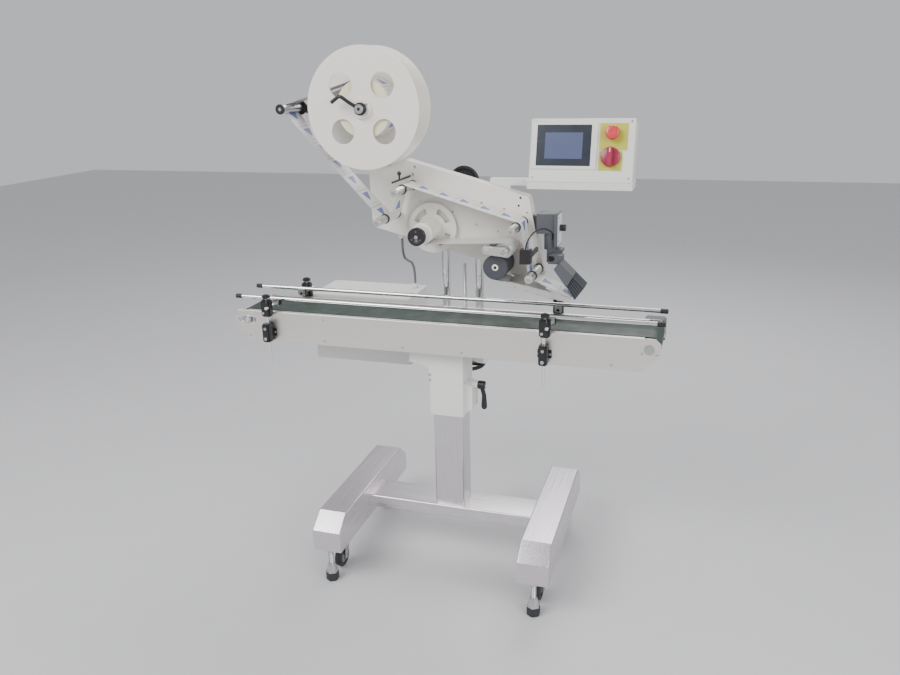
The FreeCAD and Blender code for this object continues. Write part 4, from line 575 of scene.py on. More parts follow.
UPRIGHT_Y, RAIL_Y = 108.0, 62.0          # each side of the belt's middle
CLAMP_TOP, ARM_Z = 832.0, 810.0          # of the cross clamps and their arms
PANEL_FACE = 92.0                        # outer face of a side panel
CLAMP_LOW, CLAMP_HIGH = 701.0, 758.0     # of the clamps on the panels
CLAMP_OUT, STRAP_OUT = 125.0, 95.0       # outer faces of a clamp and its strap
STRAP_Z = 727.0                          # middle of the strap and its screws
BEARING_IN, BEARING_OUT = 79.0, 87.9     # of the bearings inside the panels
SIDES = (("front", -1), ("rear", 1))


def sided(sign, inner, outer):
    """Two distances from the middle, as low and high y on one side."""
    return sorted((sign * inner, sign * outer))


def upright_places(side):
    """Positions along the belt of one side's two uprights."""
    lo, hi = low_high(side + "_guide_uprights")
    return lo.x + 12, hi.x - 18


def build_guides():
    """Uprights with their clamps, arms, rails and knobs."""
    rail_z = low_high("front_rail")[1].z - 7
    for side, sign in SIDES:
        node = side + "_guide_uprights"
        foot_z = low_high(node)[0].z
        y = sign * UPRIGHT_Y
        post = stand_in(side + "_uprights_fitted", node)
        rail = stand_in(side + "_rail_fitted", side + "_rail")
        rlo, rhi = low_high(side + "_rail")
        rail_y = sign * RAIL_Y
        rail.cyl((rlo.x + 5, rail_y, rail_z), (rhi.x - 5, rail_y, rail_z), 6, CHROME, 24)
        for x0, x1 in ((rlo.x, rlo.x + 22), (rhi.x - 22, rhi.x)):
            rail.cyl((x0, rail_y, rail_z), (x1, rail_y, rail_z), 6.9, BLACK, 24, 1.2)
        for x in upright_places(side):
            post.cyl((x, y, foot_z), (x, y, foot_z + 198), 4.8, CHROME, 24)
            post.box((x - 12, y - 12, CLAMP_TOP - 52), (x + 18, y + 12, CLAMP_TOP), BLACK, 4)
            post.box((x + 8, y - 12.4, CLAMP_TOP - 9), (x + 10.4, y + 12.4, CLAMP_TOP + 0.2), DARK, 0.2)
            post.cyl((x + 3, y, CLAMP_TOP - 1), (x + 3, y, CLAMP_TOP + 5), 5, STEEL)
            star_knob(post, Vector((x + 3, y, CLAMP_TOP + 4.5)), Z, 12.6, 11)
            post.screw((x - 4, y + sign * 12.2, CLAMP_TOP - 40), Y * sign, 4.2, 2.4)
            arm_x = x + 11.3
            rail.cyl((arm_x, rail_y - sign * 11, ARM_Z), (arm_x, sign * 130, ARM_Z), 5, CHROME, 24, 1.0)
            rail.box((arm_x - 11, rail_y - 11, ARM_Z - 8), (arm_x + 11, rail_y + 11, ARM_Z + 16), STEEL, 3)
            rail.screw((arm_x - 5, rail_y, 825.6), Z, 3.4, 2.4)
            for x0 in (arm_x - 12.6, arm_x + 10.6):
                rail.box((x0, rail_y - 8, ARM_Z - 5), (x0 + 2, rail_y + 8, ARM_Z + 12), BLACK, 0.8)
        post.done()
        rail.done()

    fit = stand_in("guide_clamps_fitted", "conveyor_fittings")
    for side, sign in SIDES:
        out = Y * sign
        for x in upright_places(side):
            y0, y1 = sided(sign, PANEL_FACE, CLAMP_OUT)
            fit.box((x - 12, y0, CLAMP_LOW), (x + 12, y1, CLAMP_HIGH), BLACK, 3)
            y0, y1 = sided(sign, PANEL_FACE, STRAP_OUT)
            fit.box((x - 20, y0, STRAP_Z - 12), (x + 20, y1, STRAP_Z + 12), BLACK, 1.2)
            for dx in (-16, 16):
                fit.screw((x + dx, sign * (STRAP_OUT - 0.2), STRAP_Z), out, 3.0, 1.8)
            low = CLAMP_LOW + 12
            fit.cyl((x, sign * (CLAMP_OUT - 0.5), low), (x, sign * (CLAMP_OUT + 4.8), low), 5, STEEL, 20)
            fit.screw((x, sign * (CLAMP_OUT - 0.2), CLAMP_HIGH - 14), out, 4.4, 3.0)
            y0, y1 = sided(sign, 109, 111)
            fit.box((x - 12.3, y0, CLAMP_LOW - 0.2), (x + 12.3, y1, CLAMP_HIGH + 0.2), DARK, 0.2)
    drive, tail = middle("drive_drum"), middle("tail_roller")
    for sign in (-1, 1):
        fit.cyl((drive.x, sign * BEARING_IN, drive.z), (drive.x, sign * BEARING_OUT, drive.z), 21, STEEL)
        y0, y1 = sided(sign, BEARING_IN, BEARING_OUT)
        fit.box((tail.x - 24, y0, tail.z - 17), (tail.x + 24, y1, tail.z + 17), STEEL, 1.5)
    fit.done()


def star_knob(build, base, direction, radius, height):
    """Moulded knob with six lobes."""
    u, v, w = frame_of(direction)
    points = []
    for i in range(48):
        a = 2 * math.pi * i / 48
        r = radius - 1.3 * (1 - math.cos(6 * a)) / 2 * 1.4
        points.append((r * math.cos(a), r * math.sin(a)))
    build.prism(points, base, u, v, height * 0.82, BLACK, 1.2)
    build.cyl(base + w * height * 0.5, base + w * height, radius * 0.55, BLACK, 30, 1.0)


CABINET_FRONT, CABINET_TOP = 98.0, 798.0
GLAND_Y = 238.0


def build_cabinet():
    """Folded cabinet with a rear door, hinges, lock and its cable gland."""
    lo, hi = low_high("control_cabinet")
    y0, y1 = CABINET_FRONT, hi.y
    z1 = CABINET_TOP
    dress("control_cabinet", WHITE, 1.5)
    trim = Build("cabinet_fittings", "machine")
    trim.box((lo.x + 12, y1 - 2, lo.z + 10), (hi.x - 12, y1 - 0.2, z1 - 10), WHITE, 0.8)
    for z in (lo.z + 40, z1 - 60):
        trim.cyl((lo.x + 10, y1 - 3.4, z), (lo.x + 10, y1 - 3.4, z + 22), 3, STEEL, 20)
    trim.cyl((hi.x - 26, y1 - 2, (lo.z + z1) / 2), (hi.x - 26, y1, (lo.z + z1) / 2), 9, STEEL, 30)
    for i in range(7):
        z = lo.z + 40 + 8 * i
        for x in (hi.x - 1.2, lo.x + 0.1):
            trim.box((x, y0 + 50, z), (x + 1.1, y0 + 120, z + 3), DARK, 0.3)
    foot = Vector((hi.x - 27, GLAND_Y, z1))
    trim.hexagon(foot, Z, 17, 5, GREY, 0.8)
    trim.lathe(foot + Z * 5, Z, [(4.2, 0), (8.6, 0), (8.8, 5), (7.0, 10.5), (4.2, 11)], GREY, 32)
    trim.done()


# ------------------------------------------------------------- head lift
def threaded(build, x, y, z0, z1, r, pitch, mat):
    """Upright rod with its thread as stacked ridges."""
    profile = [(0, 0)]
    count = int((z1 - z0 - 2) / pitch)
    for i in range(count):
        profile += [(r * 0.88, pitch * i), (r, pitch * (i + 0.5))]
    profile += [(r * 0.88, pitch * count), (r * 0.7, z1 - z0), (0, z1 - z0)]
    build.lathe((x, y, z0), Z, profile, mat, 20)


def spoked_wheel(build, centre, axis, radius, rim, hub_r, hub_l, grip_angle, grip_l, disc):
    """Handwheel with a rounded rim and a turning grip; axis points away
    from the bearing, and centre lies in the plane of the bearing face."""
    u, v, w = frame_of(axis)
    mid = Vector(centre) + w * 12
    build.ring(mid, w, radius - rim, rim, BLACK, 64, 18)
    build.lathe(centre, w, [(0, 0), (hub_r, 0), (hub_r, 8), (hub_r - 2, hub_l - 2),
                            (hub_r - 3.5, hub_l), (0, hub_l)], BLACK)
    build.hexagon(Vector(centre) + w * (hub_l - 1), w, 11, 1.0, STEEL, 0.3)
    if disc:
        build.lathe(mid - w * 3, w, [(0, 0), (radius - rim, 1.2), (radius - rim, 4.8), (0, 6)], BLACK, 64)
    else:
        for a in (90, 210, 330):
            across, up = polar(1, a)
            d = u * across + v * up
            build.cyl(mid + d * (hub_r - 3), mid + d * (radius - rim), 5.5, BLACK, 18, 0.3, 4.2)
    across, up = polar(radius - rim, grip_angle)
    foot = mid + u * across + v * up
    build.cyl(foot, foot + w * grip_l * 0.2, 3.5, STEEL, 20)
    build.lathe(foot + w * grip_l * 0.18, w, [(0, 0), (4.2, 0), (5.8, grip_l * 0.3), (5.0, grip_l * 0.65),
                                              (3.5, grip_l * 0.8), (0, grip_l * 0.82)], GREY)


CROSS_SCREW_Z = 1155.0


def build_lift():
    dress("lift_posts", CHROME, 0.5)
    dress("head_carriage", ALUMINIUM, 1.0)
    dress("lift_block", ALUMINIUM, 1.0)
    lo, hi = low_high("lift_screw")
    plo, phi = low_high("lift_posts")
    c = Vector(((lo.x + hi.x) / 2, (lo.y + hi.y) / 2, plo.z - 0.3))
    post_x = (plo.x + 22, phi.x - 22)
    wheel = stand_in("lift_wheel_fitted", "lift_screw")
    threaded(wheel, c.x, c.y, plo.z + 24, hi.z, 5.0, 2.4, STEEL)
    wheel.cyl((c.x, c.y, plo.z), (c.x, c.y, plo.z + 15), 5, STEEL, 20, 0.2)
    wheel.cyl((c.x, c.y, plo.z + 15.3), (c.x, c.y, plo.z + 25), 10, STEEL)
    spoked_wheel(wheel, c, -Z, 60, 6, 13, 24, 200, 40, False)
    wheel.done()

    blo, bhi = low_high("lift_block")
    trim = Build("lift_block_screws", "machine")
    for x in post_x:
        trim.lathe((x, c.y, bhi.z), Z, [(13.2, -0.2), (18.5, -0.2), (18.5, 0.2), (13.2, 0.2)], STEEL)
    for x in (blo.x + 14, bhi.x - 14):
        for z in (blo.z + 14, bhi.z - 26):
            trim.screw((x, bhi.y - 0.4, z), Y, 4, 2)
    trim.cyl((c.x, c.y, blo.z + 60), (c.x, c.y, blo.z + 60.1), 5.1, BRASS)
    trim.done()

    clo, chi = low_high("head_carriage")
    trim = Build("carriage_screws", "lift")
    for x in post_x:
        for z in (clo.z + 20, clo.z + 65):
            trim.screw((x + (14 if x > c.x else -14), chi.y - 0.3, z), Y, 4, 3)
        trim.lathe((x, c.y, phi.z - 0.4), Z, [(0, 0), (11, 0), (10, 1.0), (0, 1.0)], BLACK)
    trim.done()

    lo, hi = low_high("cross_screw")
    cz, cx = CROSS_SCREW_Z, (lo.x + hi.x) / 2
    wheel = stand_in("cross_wheel_fitted", "cross_screw")
    wheel.cyl((cx, lo.y, cz), (cx, chi.y + 1, cz), 4.9, STEEL, 20)
    wheel.cyl((cx, clo.y - 6, cz), (cx, clo.y - 0.3, cz), 9, STEEL)
    spoked_wheel(wheel, Vector((cx, chi.y + 0.3, cz)), Y, 47, 6, 13, 24, 205, 34, True)
    wheel.done()


# ------------------------------------------------------------------ head
def build_head():
    dress("head_plate", CREAM, 0.7)
    dress("head_cover", WHITE, 0.7)
    face = low_high("head_plate")[0].y
    x0 = middle("column_tube").x
    dots = Build("plate_screws", "head")
    for dx, z in ((-188, 1216), (-111, 1211), (-118, 1190)):
        dots.screw((x0 + dx, face + 0.2, z), -Y, 4.0, 2.0)
    for dx, z in ((199, 1129), (194, 1107)):
        dots.lathe((x0 + dx, face - 0.35, z), Y, [(0, 0), (3.2, 0), (3.2, 0.3), (0, 0.3)], BLACK, 20)
    for dx, z in ((-99, 1114), (0, 1085), (86, 1113), (152, 1098), (218, 1089), (70, 1050), (134, 1032)):
        dots.screw((x0 + dx, face + 0.2, z), -Y, 3.0, 1.4)
    reel = middle("reel")
    dots.cyl((reel.x, face - 1.5, reel.z), (reel.x, face + 5.5, reel.z), 14, STEEL)
    dots.done()

    motor = Build("feed_motor_trim", "head")
    feed = middle("feed_roller")
    cover = 97.0
    for dx in (-23, 23):
        for dz in (-23, 23):
            motor.screw((feed.x + dx, cover + 71.6, feed.z + dz), Y, 3.2, 2.2)
    for y in (cover + 10, cover + 52):
        motor.box((feed.x - 30.3, y, feed.z - 24), (feed.x + 30.3, y + 2, feed.z + 24), DARK, 0.2)
    motor.done()

    gland = Build("head_cable_gland", "head")
    top = CABLE_ROUTE[0]
    gland.lathe(Vector(top) + Z * 14, -Z, [(4.2, 0), (8.5, 0), (8.5, 6), (7.6, 12), (4.2, 13)], GREY)
    gland.done()


def build_reel():
    """Two moulded discs, the wound labels between them, and the lever."""
    c = middle("reel")
    lo, hi = low_high("reel")
    rlo, rhi = low_high("label_roll")
    gap, r, t = 44.0, (hi.x - lo.x) / 2, 4.0
    reel = stand_in("reel_moulded", "reel")
    disc_with_windows(reel, Vector((c.x, -gap - t, c.z)), r, t, 34.0, 87.0, IVORY)
    boss = [(13.2, 0), (25, 0), (28, 2), (28, 8.5), (13.2, 8.5), (13.2, 0)]
    reel.turn(c, -gap - t - 8, boss, IVORY)
    for a in (35, 215):
        dx, dz = polar(20.5, a)
        reel.screw((c.x + dx, -gap - t - 7.9, c.z + dz), -Y, 3.2, 1.5)
    reel.turn(c, gap, [(0, 0), (r - 1.5, 0), (r, 1.2), (r, t - 1.2), (r - 1.5, t), (0, t)], IVORY, 96)
    reel.pin(c, -gap, gap + 1, 37.6, GREY, 48)
    reel.pin(c, -gap - t - 26, -gap + 1, 12.5, STEEL, 36, 1.2)
    reel.turn(c, -gap - t - 26.4, [(0, 0), (4.5, 0), (4.5, 0.6), (0, 0.6)], BLACK, 20)
    reel.pin(c, gap + t - 1, hi.y, 8, STEEL)
    reel.done()

    wound = stand_in("label_roll_wound", "label_roll")
    radius = (rhi.x - rlo.x) / 2
    side = [(38, 0)]
    for i in range(10):
        a = 38 + (radius - 38) * i / 10
        side += [(a + 0.4, 0.0), (a + (radius - 38) / 10 - 0.4, 0.0), (a + (radius - 38) / 10, 0.25)]
    for y, inward in ((rlo.y, Y), (rhi.y, -Y)):
        wound.lathe((c.x, y, c.z), inward, side + [(radius - 0.6, 0.3)], ROLL_SIDE, 72)
    wound.turn(c, rlo.y, [(38.0, 0), (38.0, 80)], ROLL_SIDE, 48)
    wound.done()

    edge = round_points(radius, 96)
    band = ribbon("label_roll_outer", [(c.x + x, c.z + z) for x, z in edge + edge[:1]], 79.6, 0.3)
    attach(band, "label_reel")

    lever = stand_in("reel_lever_moulded", "reel_lever")
    y = low_high("reel_lever")[1].y
    lever.turn(c, y - 12, [(12.6, 0), (15, 0), (17, 2), (17, 11), (16, 12), (12.6, 12), (12.6, 0)], BLACK)
    lever.tube([(c.x - 12, y - 8, c.z + 6), (c.x - 24, y - 12, c.z + 14), (c.x - 38, y - 18, c.z + 25),
                (c.x - 49, y - 20, c.z + 33), (c.x - 56, y - 20, c.z + 33), (c.x - 64, y - 20, c.z + 28),
                (c.x - 78, y - 20.5, c.z + 18)], 5.0, BLACK, 18)
    lever.done()


def disc_with_windows(build, start, r, t, hole_r, pcd_r, mat, holes=(45, 135, 225, 315), seg=144):
    """Flat disc with round windows, its axis along +Y."""
    part = bmesh.new()
    loops = [round_points(r, seg)]
    for a in holes:
        cx, cz = polar(pcd_r, a)
        loops.append([(cx + x, cz + z) for x, z in round_points(hole_r, 48)])
    loops.append(round_points(12.8, 32))
    for y in (0.0, t):
        edges = []
        for loop in loops:
            verts = [part.verts.new(start + Vector((p[0], y, p[1]))) for p in loop]
            edges += [part.edges.new((verts[i], verts[(i + 1) % len(verts)])) for i in range(len(verts))]
        bmesh.ops.triangle_fill(part, edges=edges, use_beauty=True)
    part.verts.ensure_lookup_table()
    count = sum(len(loop) for loop in loops)
    base = 0
    for loop in loops:
        n = len(loop)
        for i in range(n):
            j = (i + 1) % n
            part.faces.new((part.verts[base + i], part.verts[base + j], part.verts[count + base + j],
                            part.verts[count + base + i]))
        base += n
    bmesh.ops.recalc_face_normals(part, faces=part.faces)
    return build.take(part, mat)


def build_rollers():
    """Guide rollers: turned aluminium between black collars."""
    for node in ("lower_left_roller", "upper_left_roller", "upper_right_roller", "peel_roller"):
        lo, hi = low_high(node)
        c = middle(node)
        roller = stand_in(node + "_turned", node)
        roller.pin(c, lo.y + 3, 53, 11.5, ALUMINIUM, 40, 0.8)
        roller.turn(c, lo.y, [(0, 0), (5, 0), (6, 3.4), (0, 3.4)], STEEL, 28)
        for y in (-47, 42):
            roller.turn(c, y, [(11.3, 0), (13.2, 0), (14, 0.9), (14, 4.1), (13.2, 5), (11.3, 5)], BLACK, 40)
        roller.pin(c, 52, hi.y, 5, STEEL)
        roller.done()
    c = middle("dancer_roller")
    lo, hi = low_high("dancer_roller")
    roller = stand_in("dancer_roller_turned", "dancer_roller")
    roller.pin(c, lo.y + 3, 53, 11.5, ALUMINIUM, 40, 0.8)
    roller.turn(c, lo.y, [(5, 0), (12.5, 0), (14, 1.5), (14, 5), (11.4, 5)], BLACK, 40)
    roller.turn(c, lo.y + 0.3, [(0, 0), (5.4, 0.4), (5.4, 1.4), (0, 1.4)], CHROME, 28)
    roller.turn(c, 42, [(11.3, 0), (20, 0), (22, 1.5), (22, 5.5), (20.5, 7), (11.3, 7)], BLACK, 48)
    roller.pin(c, 52, hi.y, 5, STEEL)
    roller.done()
    dress("dancer_arm", DARK, 1.0)

    c = middle("feed_roller")
    lo, hi = low_high("feed_roller")
    front = lo.y + 3
    feed = stand_in("feed_roller_rubbered", "feed_roller")
    feed.turn(c, front, [(9, 0.4), (33.5, 0), (35, 1.5), (35, 44 - front - 1.5),
                                      (33.5, 44 - front), (9, 44 - front)], DRIVE_RUBBER, 72)
    feed.turn(c, front - 0.8, [(4.6, 0), (7.6, 0), (9.2, 1.2), (9.2, 3), (4.6, 3), (4.6, 0)], IVORY, 32)
    feed.turn(c, front - 0.2, [(0, 0.8), (4.7, 0.8), (4.7, 1.4), (0, 1.4)], BLACK, 24)
    feed.pin(c, 43, hi.y, 8, STEEL)
    feed.done()

    c = middle("nip_roller")
    lo, hi = low_high("nip_roller")
    nip = stand_in("nip_roller_turned", "nip_roller")
    nip.pin(c, NIP_FRONT, 44, 20, ALUMINIUM, 56, 1.0)
    nip.pin(c, lo.y, NIP_FRONT + 1, 5, STEEL)
    nip.pin(c, 43, hi.y, 5, STEEL)
    nip.turn(c, lo.y - 0.0, [(0, 0.3), (2.4, 0.3), (2.4, 0.8), (0, 0.8)], BLACK, 16)
    nip.done()
    dress("nip_arm", ALUMINIUM, 1.0)
    trim = Build("nip_arm_caps", "head")
    plo = low_high("nip_arm")[0]
    trim.lathe((plo.x + 11, plo.y - 0.0, plo.z + 16), Y, [(0, 0.1), (4.6, 0.1), (4.6, 1), (0, 1)], STEEL, 24)
    trim.done()

    c = middle("rewinder")
    lo, hi = low_high("rewinder")
    rew = stand_in("rewinder_fitted", "rewinder")
    rew.take(skin_of("rewinder", lambda p: p.y > 40.5), IVORY)
    rew.lathe((c.x, 42, c.z), -Y, [(0, 0), (30, 0), (30, 90), (26, 92), (25.2, 108), (24, 123), (0, 123)],
              IVORY, 56)
    rew.lathe((c.x, -82, c.z), -Y, [(0, 0), (13, 0), (24, 1.5), (25, 3), (25, 16), (23.5, 17.9),
                                    (6.5, 17.9), (6.0, 16.5), (0, 16.5)], BLACK, 64)
    for a in (90, 210, 330):
        dx, dz = polar(15, a)
        rew.lathe((c.x + dx, -99.92, c.z + dz), Y, [(0, 0), (2.6, 0), (2.6, 0.4), (0, 0.4)], DARK, 16)
    rew.turn(c, -99.6, [(0, 0), (5.4, 0.2), (5.4, 2.5), (0, 2.5)], STEEL, 24)
    rew.done()


def skin_of(node, keep):
    """Faces of a CAD solid whose centres pass a test, in millimetres."""
    part = bmesh.new()
    part.from_mesh(frame["nodes"][node].data)
    bmesh.ops.remove_doubles(part, verts=part.verts, dist=2e-6)
    bmesh.ops.scale(part, vec=(1 / MM,) * 3, verts=part.verts)
    gone = [f for f in part.faces if not keep(f.calc_center_median())]
    bmesh.ops.delete(part, geom=gone, context="FACES")
    bmesh.ops.dissolve_limit(part, angle_limit=math.radians(0.8), verts=part.verts, edges=part.edges)
    return part


# ------------------------------------------------------------------- web
def tangent(c1, s1, c2, s2):
    """Line tangent to two circles; s is positive for an anticlockwise turn."""
    dx, dz = c2[0] - c1[0], c2[1] - c1[1]
    ratio = max(-1.0, min(1.0, (s2 - s1) / math.hypot(dx, dz)))
    angle = math.atan2(dz, dx) - math.asin(ratio)
    n = (-math.sin(angle), math.cos(angle))
    return (c1[0] - s1 * n[0], c1[1] - s1 * n[1]), (c2[0] - s2 * n[0], c2[1] - s2 * n[1])


def web_points(stops, step=6.0):
    """Points along a web that turns round each stop's circle."""
    lines = [tangent(*stops[i], *stops[i + 1]) for i in range(len(stops) - 1)]
    points = []
    for i, (a, b) in enumerate(lines):
        if i:
            (cx, cz), s = stops[i]
            before = lines[i - 1][1]
            a0 = math.atan2(before[1] - cz, before[0] - cx)
            a1 = math.atan2(a[1] - cz, a[0] - cx)
            sweep = (a1 - a0) % (2 * math.pi) if s > 0 else -((a0 - a1) % (2 * math.pi))
            if abs(sweep) < 2 * math.pi - 0.02:
                n = max(1, int(abs(sweep) / 0.13))
                points += [(cx + abs(s) * math.cos(a0 + sweep * k / n),
                            cz + abs(s) * math.sin(a0 + sweep * k / n)) for k in range(n)]
        length = math.hypot(b[0] - a[0], b[1] - a[1])
        n = max(1, int(length / step))
        points += [(a[0] + (b[0] - a[0]) * k / n, a[1] + (b[1] - a[1]) * k / n) for k in range(n)]
    points.append(lines[-1][1])
    return points


def ribbon(name, path, width, thick, mat=None, start=0.0, across=6):
    """Thin strip along an (x, z) path, with u along it and v across it."""
    part = bmesh.new()
    layer = part.loops.layers.uv.new("UVMap")
    run, lengths = start, []
    for i, p in enumerate(path):
        if i:
            run += math.hypot(p[0] - path[i - 1][0], p[1] - path[i - 1][1])
        lengths.append(run)
    sides = []
    for offset in (-thick / 2, thick / 2):
        rows = []
        for i, p in enumerate(path):
            a, b = path[max(i - 1, 0)], path[min(i + 1, len(path) - 1)]
            length = math.hypot(b[0] - a[0], b[1] - a[1]) or 1.0
            nx, nz = -(b[1] - a[1]) / length, (b[0] - a[0]) / length
            rows.append([part.verts.new((p[0] + nx * offset, -width / 2 + width * k / across,
                                         p[1] + nz * offset)) for k in range(across + 1)])
        sides.append(rows)

    def face(verts, uvs):
        f = part.faces.new(verts)
        for loop, value in zip(f.loops, uvs):
            loop[layer].uv = value

    def v_at(k):
        return (-width / 2 + width * k / across) * MM

    n = len(path)
    for rows, flip in ((sides[0], False), (sides[1], True)):
        for i in range(n - 1):
            for k in range(across):
                verts = [rows[i][k], rows[i + 1][k], rows[i + 1][k + 1], rows[i][k + 1]]
                uvs = [(lengths[i] * MM, v_at(k)), (lengths[i + 1] * MM, v_at(k)),
                       (lengths[i + 1] * MM, v_at(k + 1)), (lengths[i] * MM, v_at(k + 1))]
                if flip:
                    verts, uvs = verts[::-1], uvs[::-1]
                face(verts, uvs)
    for k, flip in ((0, True), (across, False)):
        for i in range(n - 1):
            verts = [sides[0][i][k], sides[0][i + 1][k], sides[1][i + 1][k], sides[1][i][k]]
            face(verts[::-1] if flip else verts, [(0, 0.0395)] * 4)
    bmesh.ops.scale(part, vec=(MM,) * 3, verts=part.verts)
    bmesh.ops.recalc_face_normals(part, faces=part.faces)
    mesh = bpy.data.meshes.new(name)
    part.to_mesh(mesh)
    part.free()
    mesh.materials.append(mat or LABELS)
    return show(name, mesh, 50)


def stop_at(node, r, turn):
    c = middle(node)
    return (c.x, c.z), turn * (r + 0.6)


def build_web():
    """The label web: unwinding strands, the threaded run and the waste."""
    reel, dancer = middle("label_roll"), middle("dancer_roller")
    unwind = [((reel.x, reel.z), 80.6), ((dancer.x, dancer.z), 12.1), stop_at("lower_left_roller", 11.5, 1)]
    strip = ribbon("web_unwinding", web_points(unwind), 80, 0.5)
    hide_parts("label_web_unwind")
    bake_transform(strip)
    tip_x, tip_z = PEEL_TIP
    run = [unwind[1], unwind[2], stop_at("upper_left_roller", 11.5, -1),
           stop_at("upper_right_roller", 11.5, -1), stop_at("peel_roller", 11.5, 1),
           ((tip_x, tip_z), -2.6)]
    feed = stop_at("feed_roller", 35, -1)
    nip = stop_at("nip_roller", 20, 1)
    rewind = stop_at("rewinder", 30, -1)
    full = web_points(run + [feed, nip, rewind])
    first = tangent(*unwind[1], *unwind[2])[1]
    skip = min(range(len(full)), key=lambda i: math.hypot(full[i][0] - first[0], full[i][1] - first[1]))
    full = full[skip:]
    turn = max(range(len(full)), key=lambda i: full[i][0])
    laden = ribbon("web_laden", full[:turn + 1], 80, 0.5, start=20.0)
    bare = ribbon("web_spent", full[turn:], 80, 0.5, WASTE)
    for piece in (laden, bare):
        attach(piece, "head")
    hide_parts("label_web")


# ------------------------------------------------- peel, brush, fittings
def build_peel():
    lo, hi = low_high("peel_table")
    dress("peel_table", ALUMINIUM, 0.5)
    trim = Build("peel_strips", "head")
    heel = Vector((lo.x + 2, 0, hi.z - 2))
    tip = Vector((hi.x - 4, 0, lo.z + 6))
    slope = (tip - heel).normalized()
    up = Vector((-slope.z, 0, slope.x))
    for share in (0.18, 0.36, 0.54, 0.86):
        at = heel + slope * ((tip - heel).length * share) - up * 7
        trim.screw((at.x, lo.y + 0.3, at.z), -Y, 2.8, 0.9)
    trim.prism([(8, -3.6), (126, -3.6), (126, 2.2), (8, 2.2)], (heel.x + 20, 44.6, heel.z - 12), slope,
               up, 89.2, DARK, 0.5)
    trim.done()


def build_brush():
    lo, hi = low_high("brush_slide")
    dress("brush_slide", DARK, 0.8)
    slide = Build("brush_slide_fittings", "head")
    slide.box((hi.x - 17.7, lo.y + 0.2, lo.z + 48), (hi.x - 17.2, lo.y + 58, hi.z - 3), WHITE, 0.2)
    for z in (hi.z - 12, hi.z - 52, hi.z - 78):
        slide.screw((hi.x - 17.6, lo.y + 12, z), X, 3.0, 2.0)
    slide.lathe((hi.x - 0.4, lo.y + 30, lo.z + 95), -X, [(9.6, 0), (9.6, 14), (8.6, 14.4)], BLACK)
    slide.done()

    lo, hi = low_high("brush")
    brush = stand_in("wiping_brush_made", "brush")
    px, pz = lo.x + 10, hi.z - 10
    brush.cyl((px, lo.y + 28, pz), (px, 29.7, pz), 10, DARK, 36)
    brush.cyl((px, 29, pz), (px, hi.y, pz), 5, STEEL)
    brush.prism([(-9, -16), (30, -16), (30, 8), (-9, 8)], (px, 28, pz), X, Z, 36, DARK, 1.0)
    holder = [(28, -6), (66, -42), (48, -74), (12, -24)]
    brush.prism(holder, (px, 28, pz), X, Z, 64, DARK, 1.2)
    across = 12
    for i in range(across):
        y = 26 - i * 5.1
        for share in (0.04, 0.22, 0.40, 0.58, 0.76, 0.94):
            a = Vector((64 + (48 - 64) * share, 0, -42 + (-73 + 42) * share))
            b = Vector((96 + (71 - 96) * share, 0, -73 + (-108 + 73) * share))
            start = Vector((px, y, pz)) + a - (b - a) * 0.12
            end = Vector((px, y, pz)) + b
            brush.cyl(start, end, 2.0, BRISTLE, 7, 0.4, 3.1)
    brush.done()


def build_fittings():
    dress("web_fittings", BLACK, 0.6)
    hi = low_high("web_fittings")[1]
    loop = Build("sensor_lead", "head")
    slide = low_high("brush_slide")[0]
    x0, z0 = hi.x - 15, 1004
    turn = [(x0, -46, z0), (x0 + 4, -44, z0 + 20), (x0 + 18, -34, z0 + 44), (x0 + 40, -16, z0 + 54),
            (x0 + 58, 6, z0 + 44), (x0 + 62, 26, z0 + 26), (slide.x + 56, 36, z0 + 8)]
    loop.tube(curve(turn, 8), 2.0, BLACK, 12)
    loop.done()


def curve(points, steps):
    """Smooth curve through given points."""
    p = [Vector(q) for q in points]
    p = [p[0] * 2 - p[1]] + p + [p[-1] * 2 - p[-2]]
    out = []
    for i in range(1, len(p) - 2):
        for k in range(steps):
            t = k / steps
            a, b, c, d = p[i - 1], p[i], p[i + 1], p[i + 2]
            out.append(0.5 * ((b * 2) + (c - a) * t + (a * 2 - b * 5 + c * 4 - d) * t * t
                              + (b * 3 - a - c * 3 + d) * t ** 3))
    out.append(p[-2])
    return out


# ------------------------------------------------------------------- HMI
LEAN = math.radians(14)
FACE_UP = Vector((0, math.sin(LEAN), math.cos(LEAN)))
FACE_OUT = Vector((0, -math.cos(LEAN), math.sin(LEAN)))


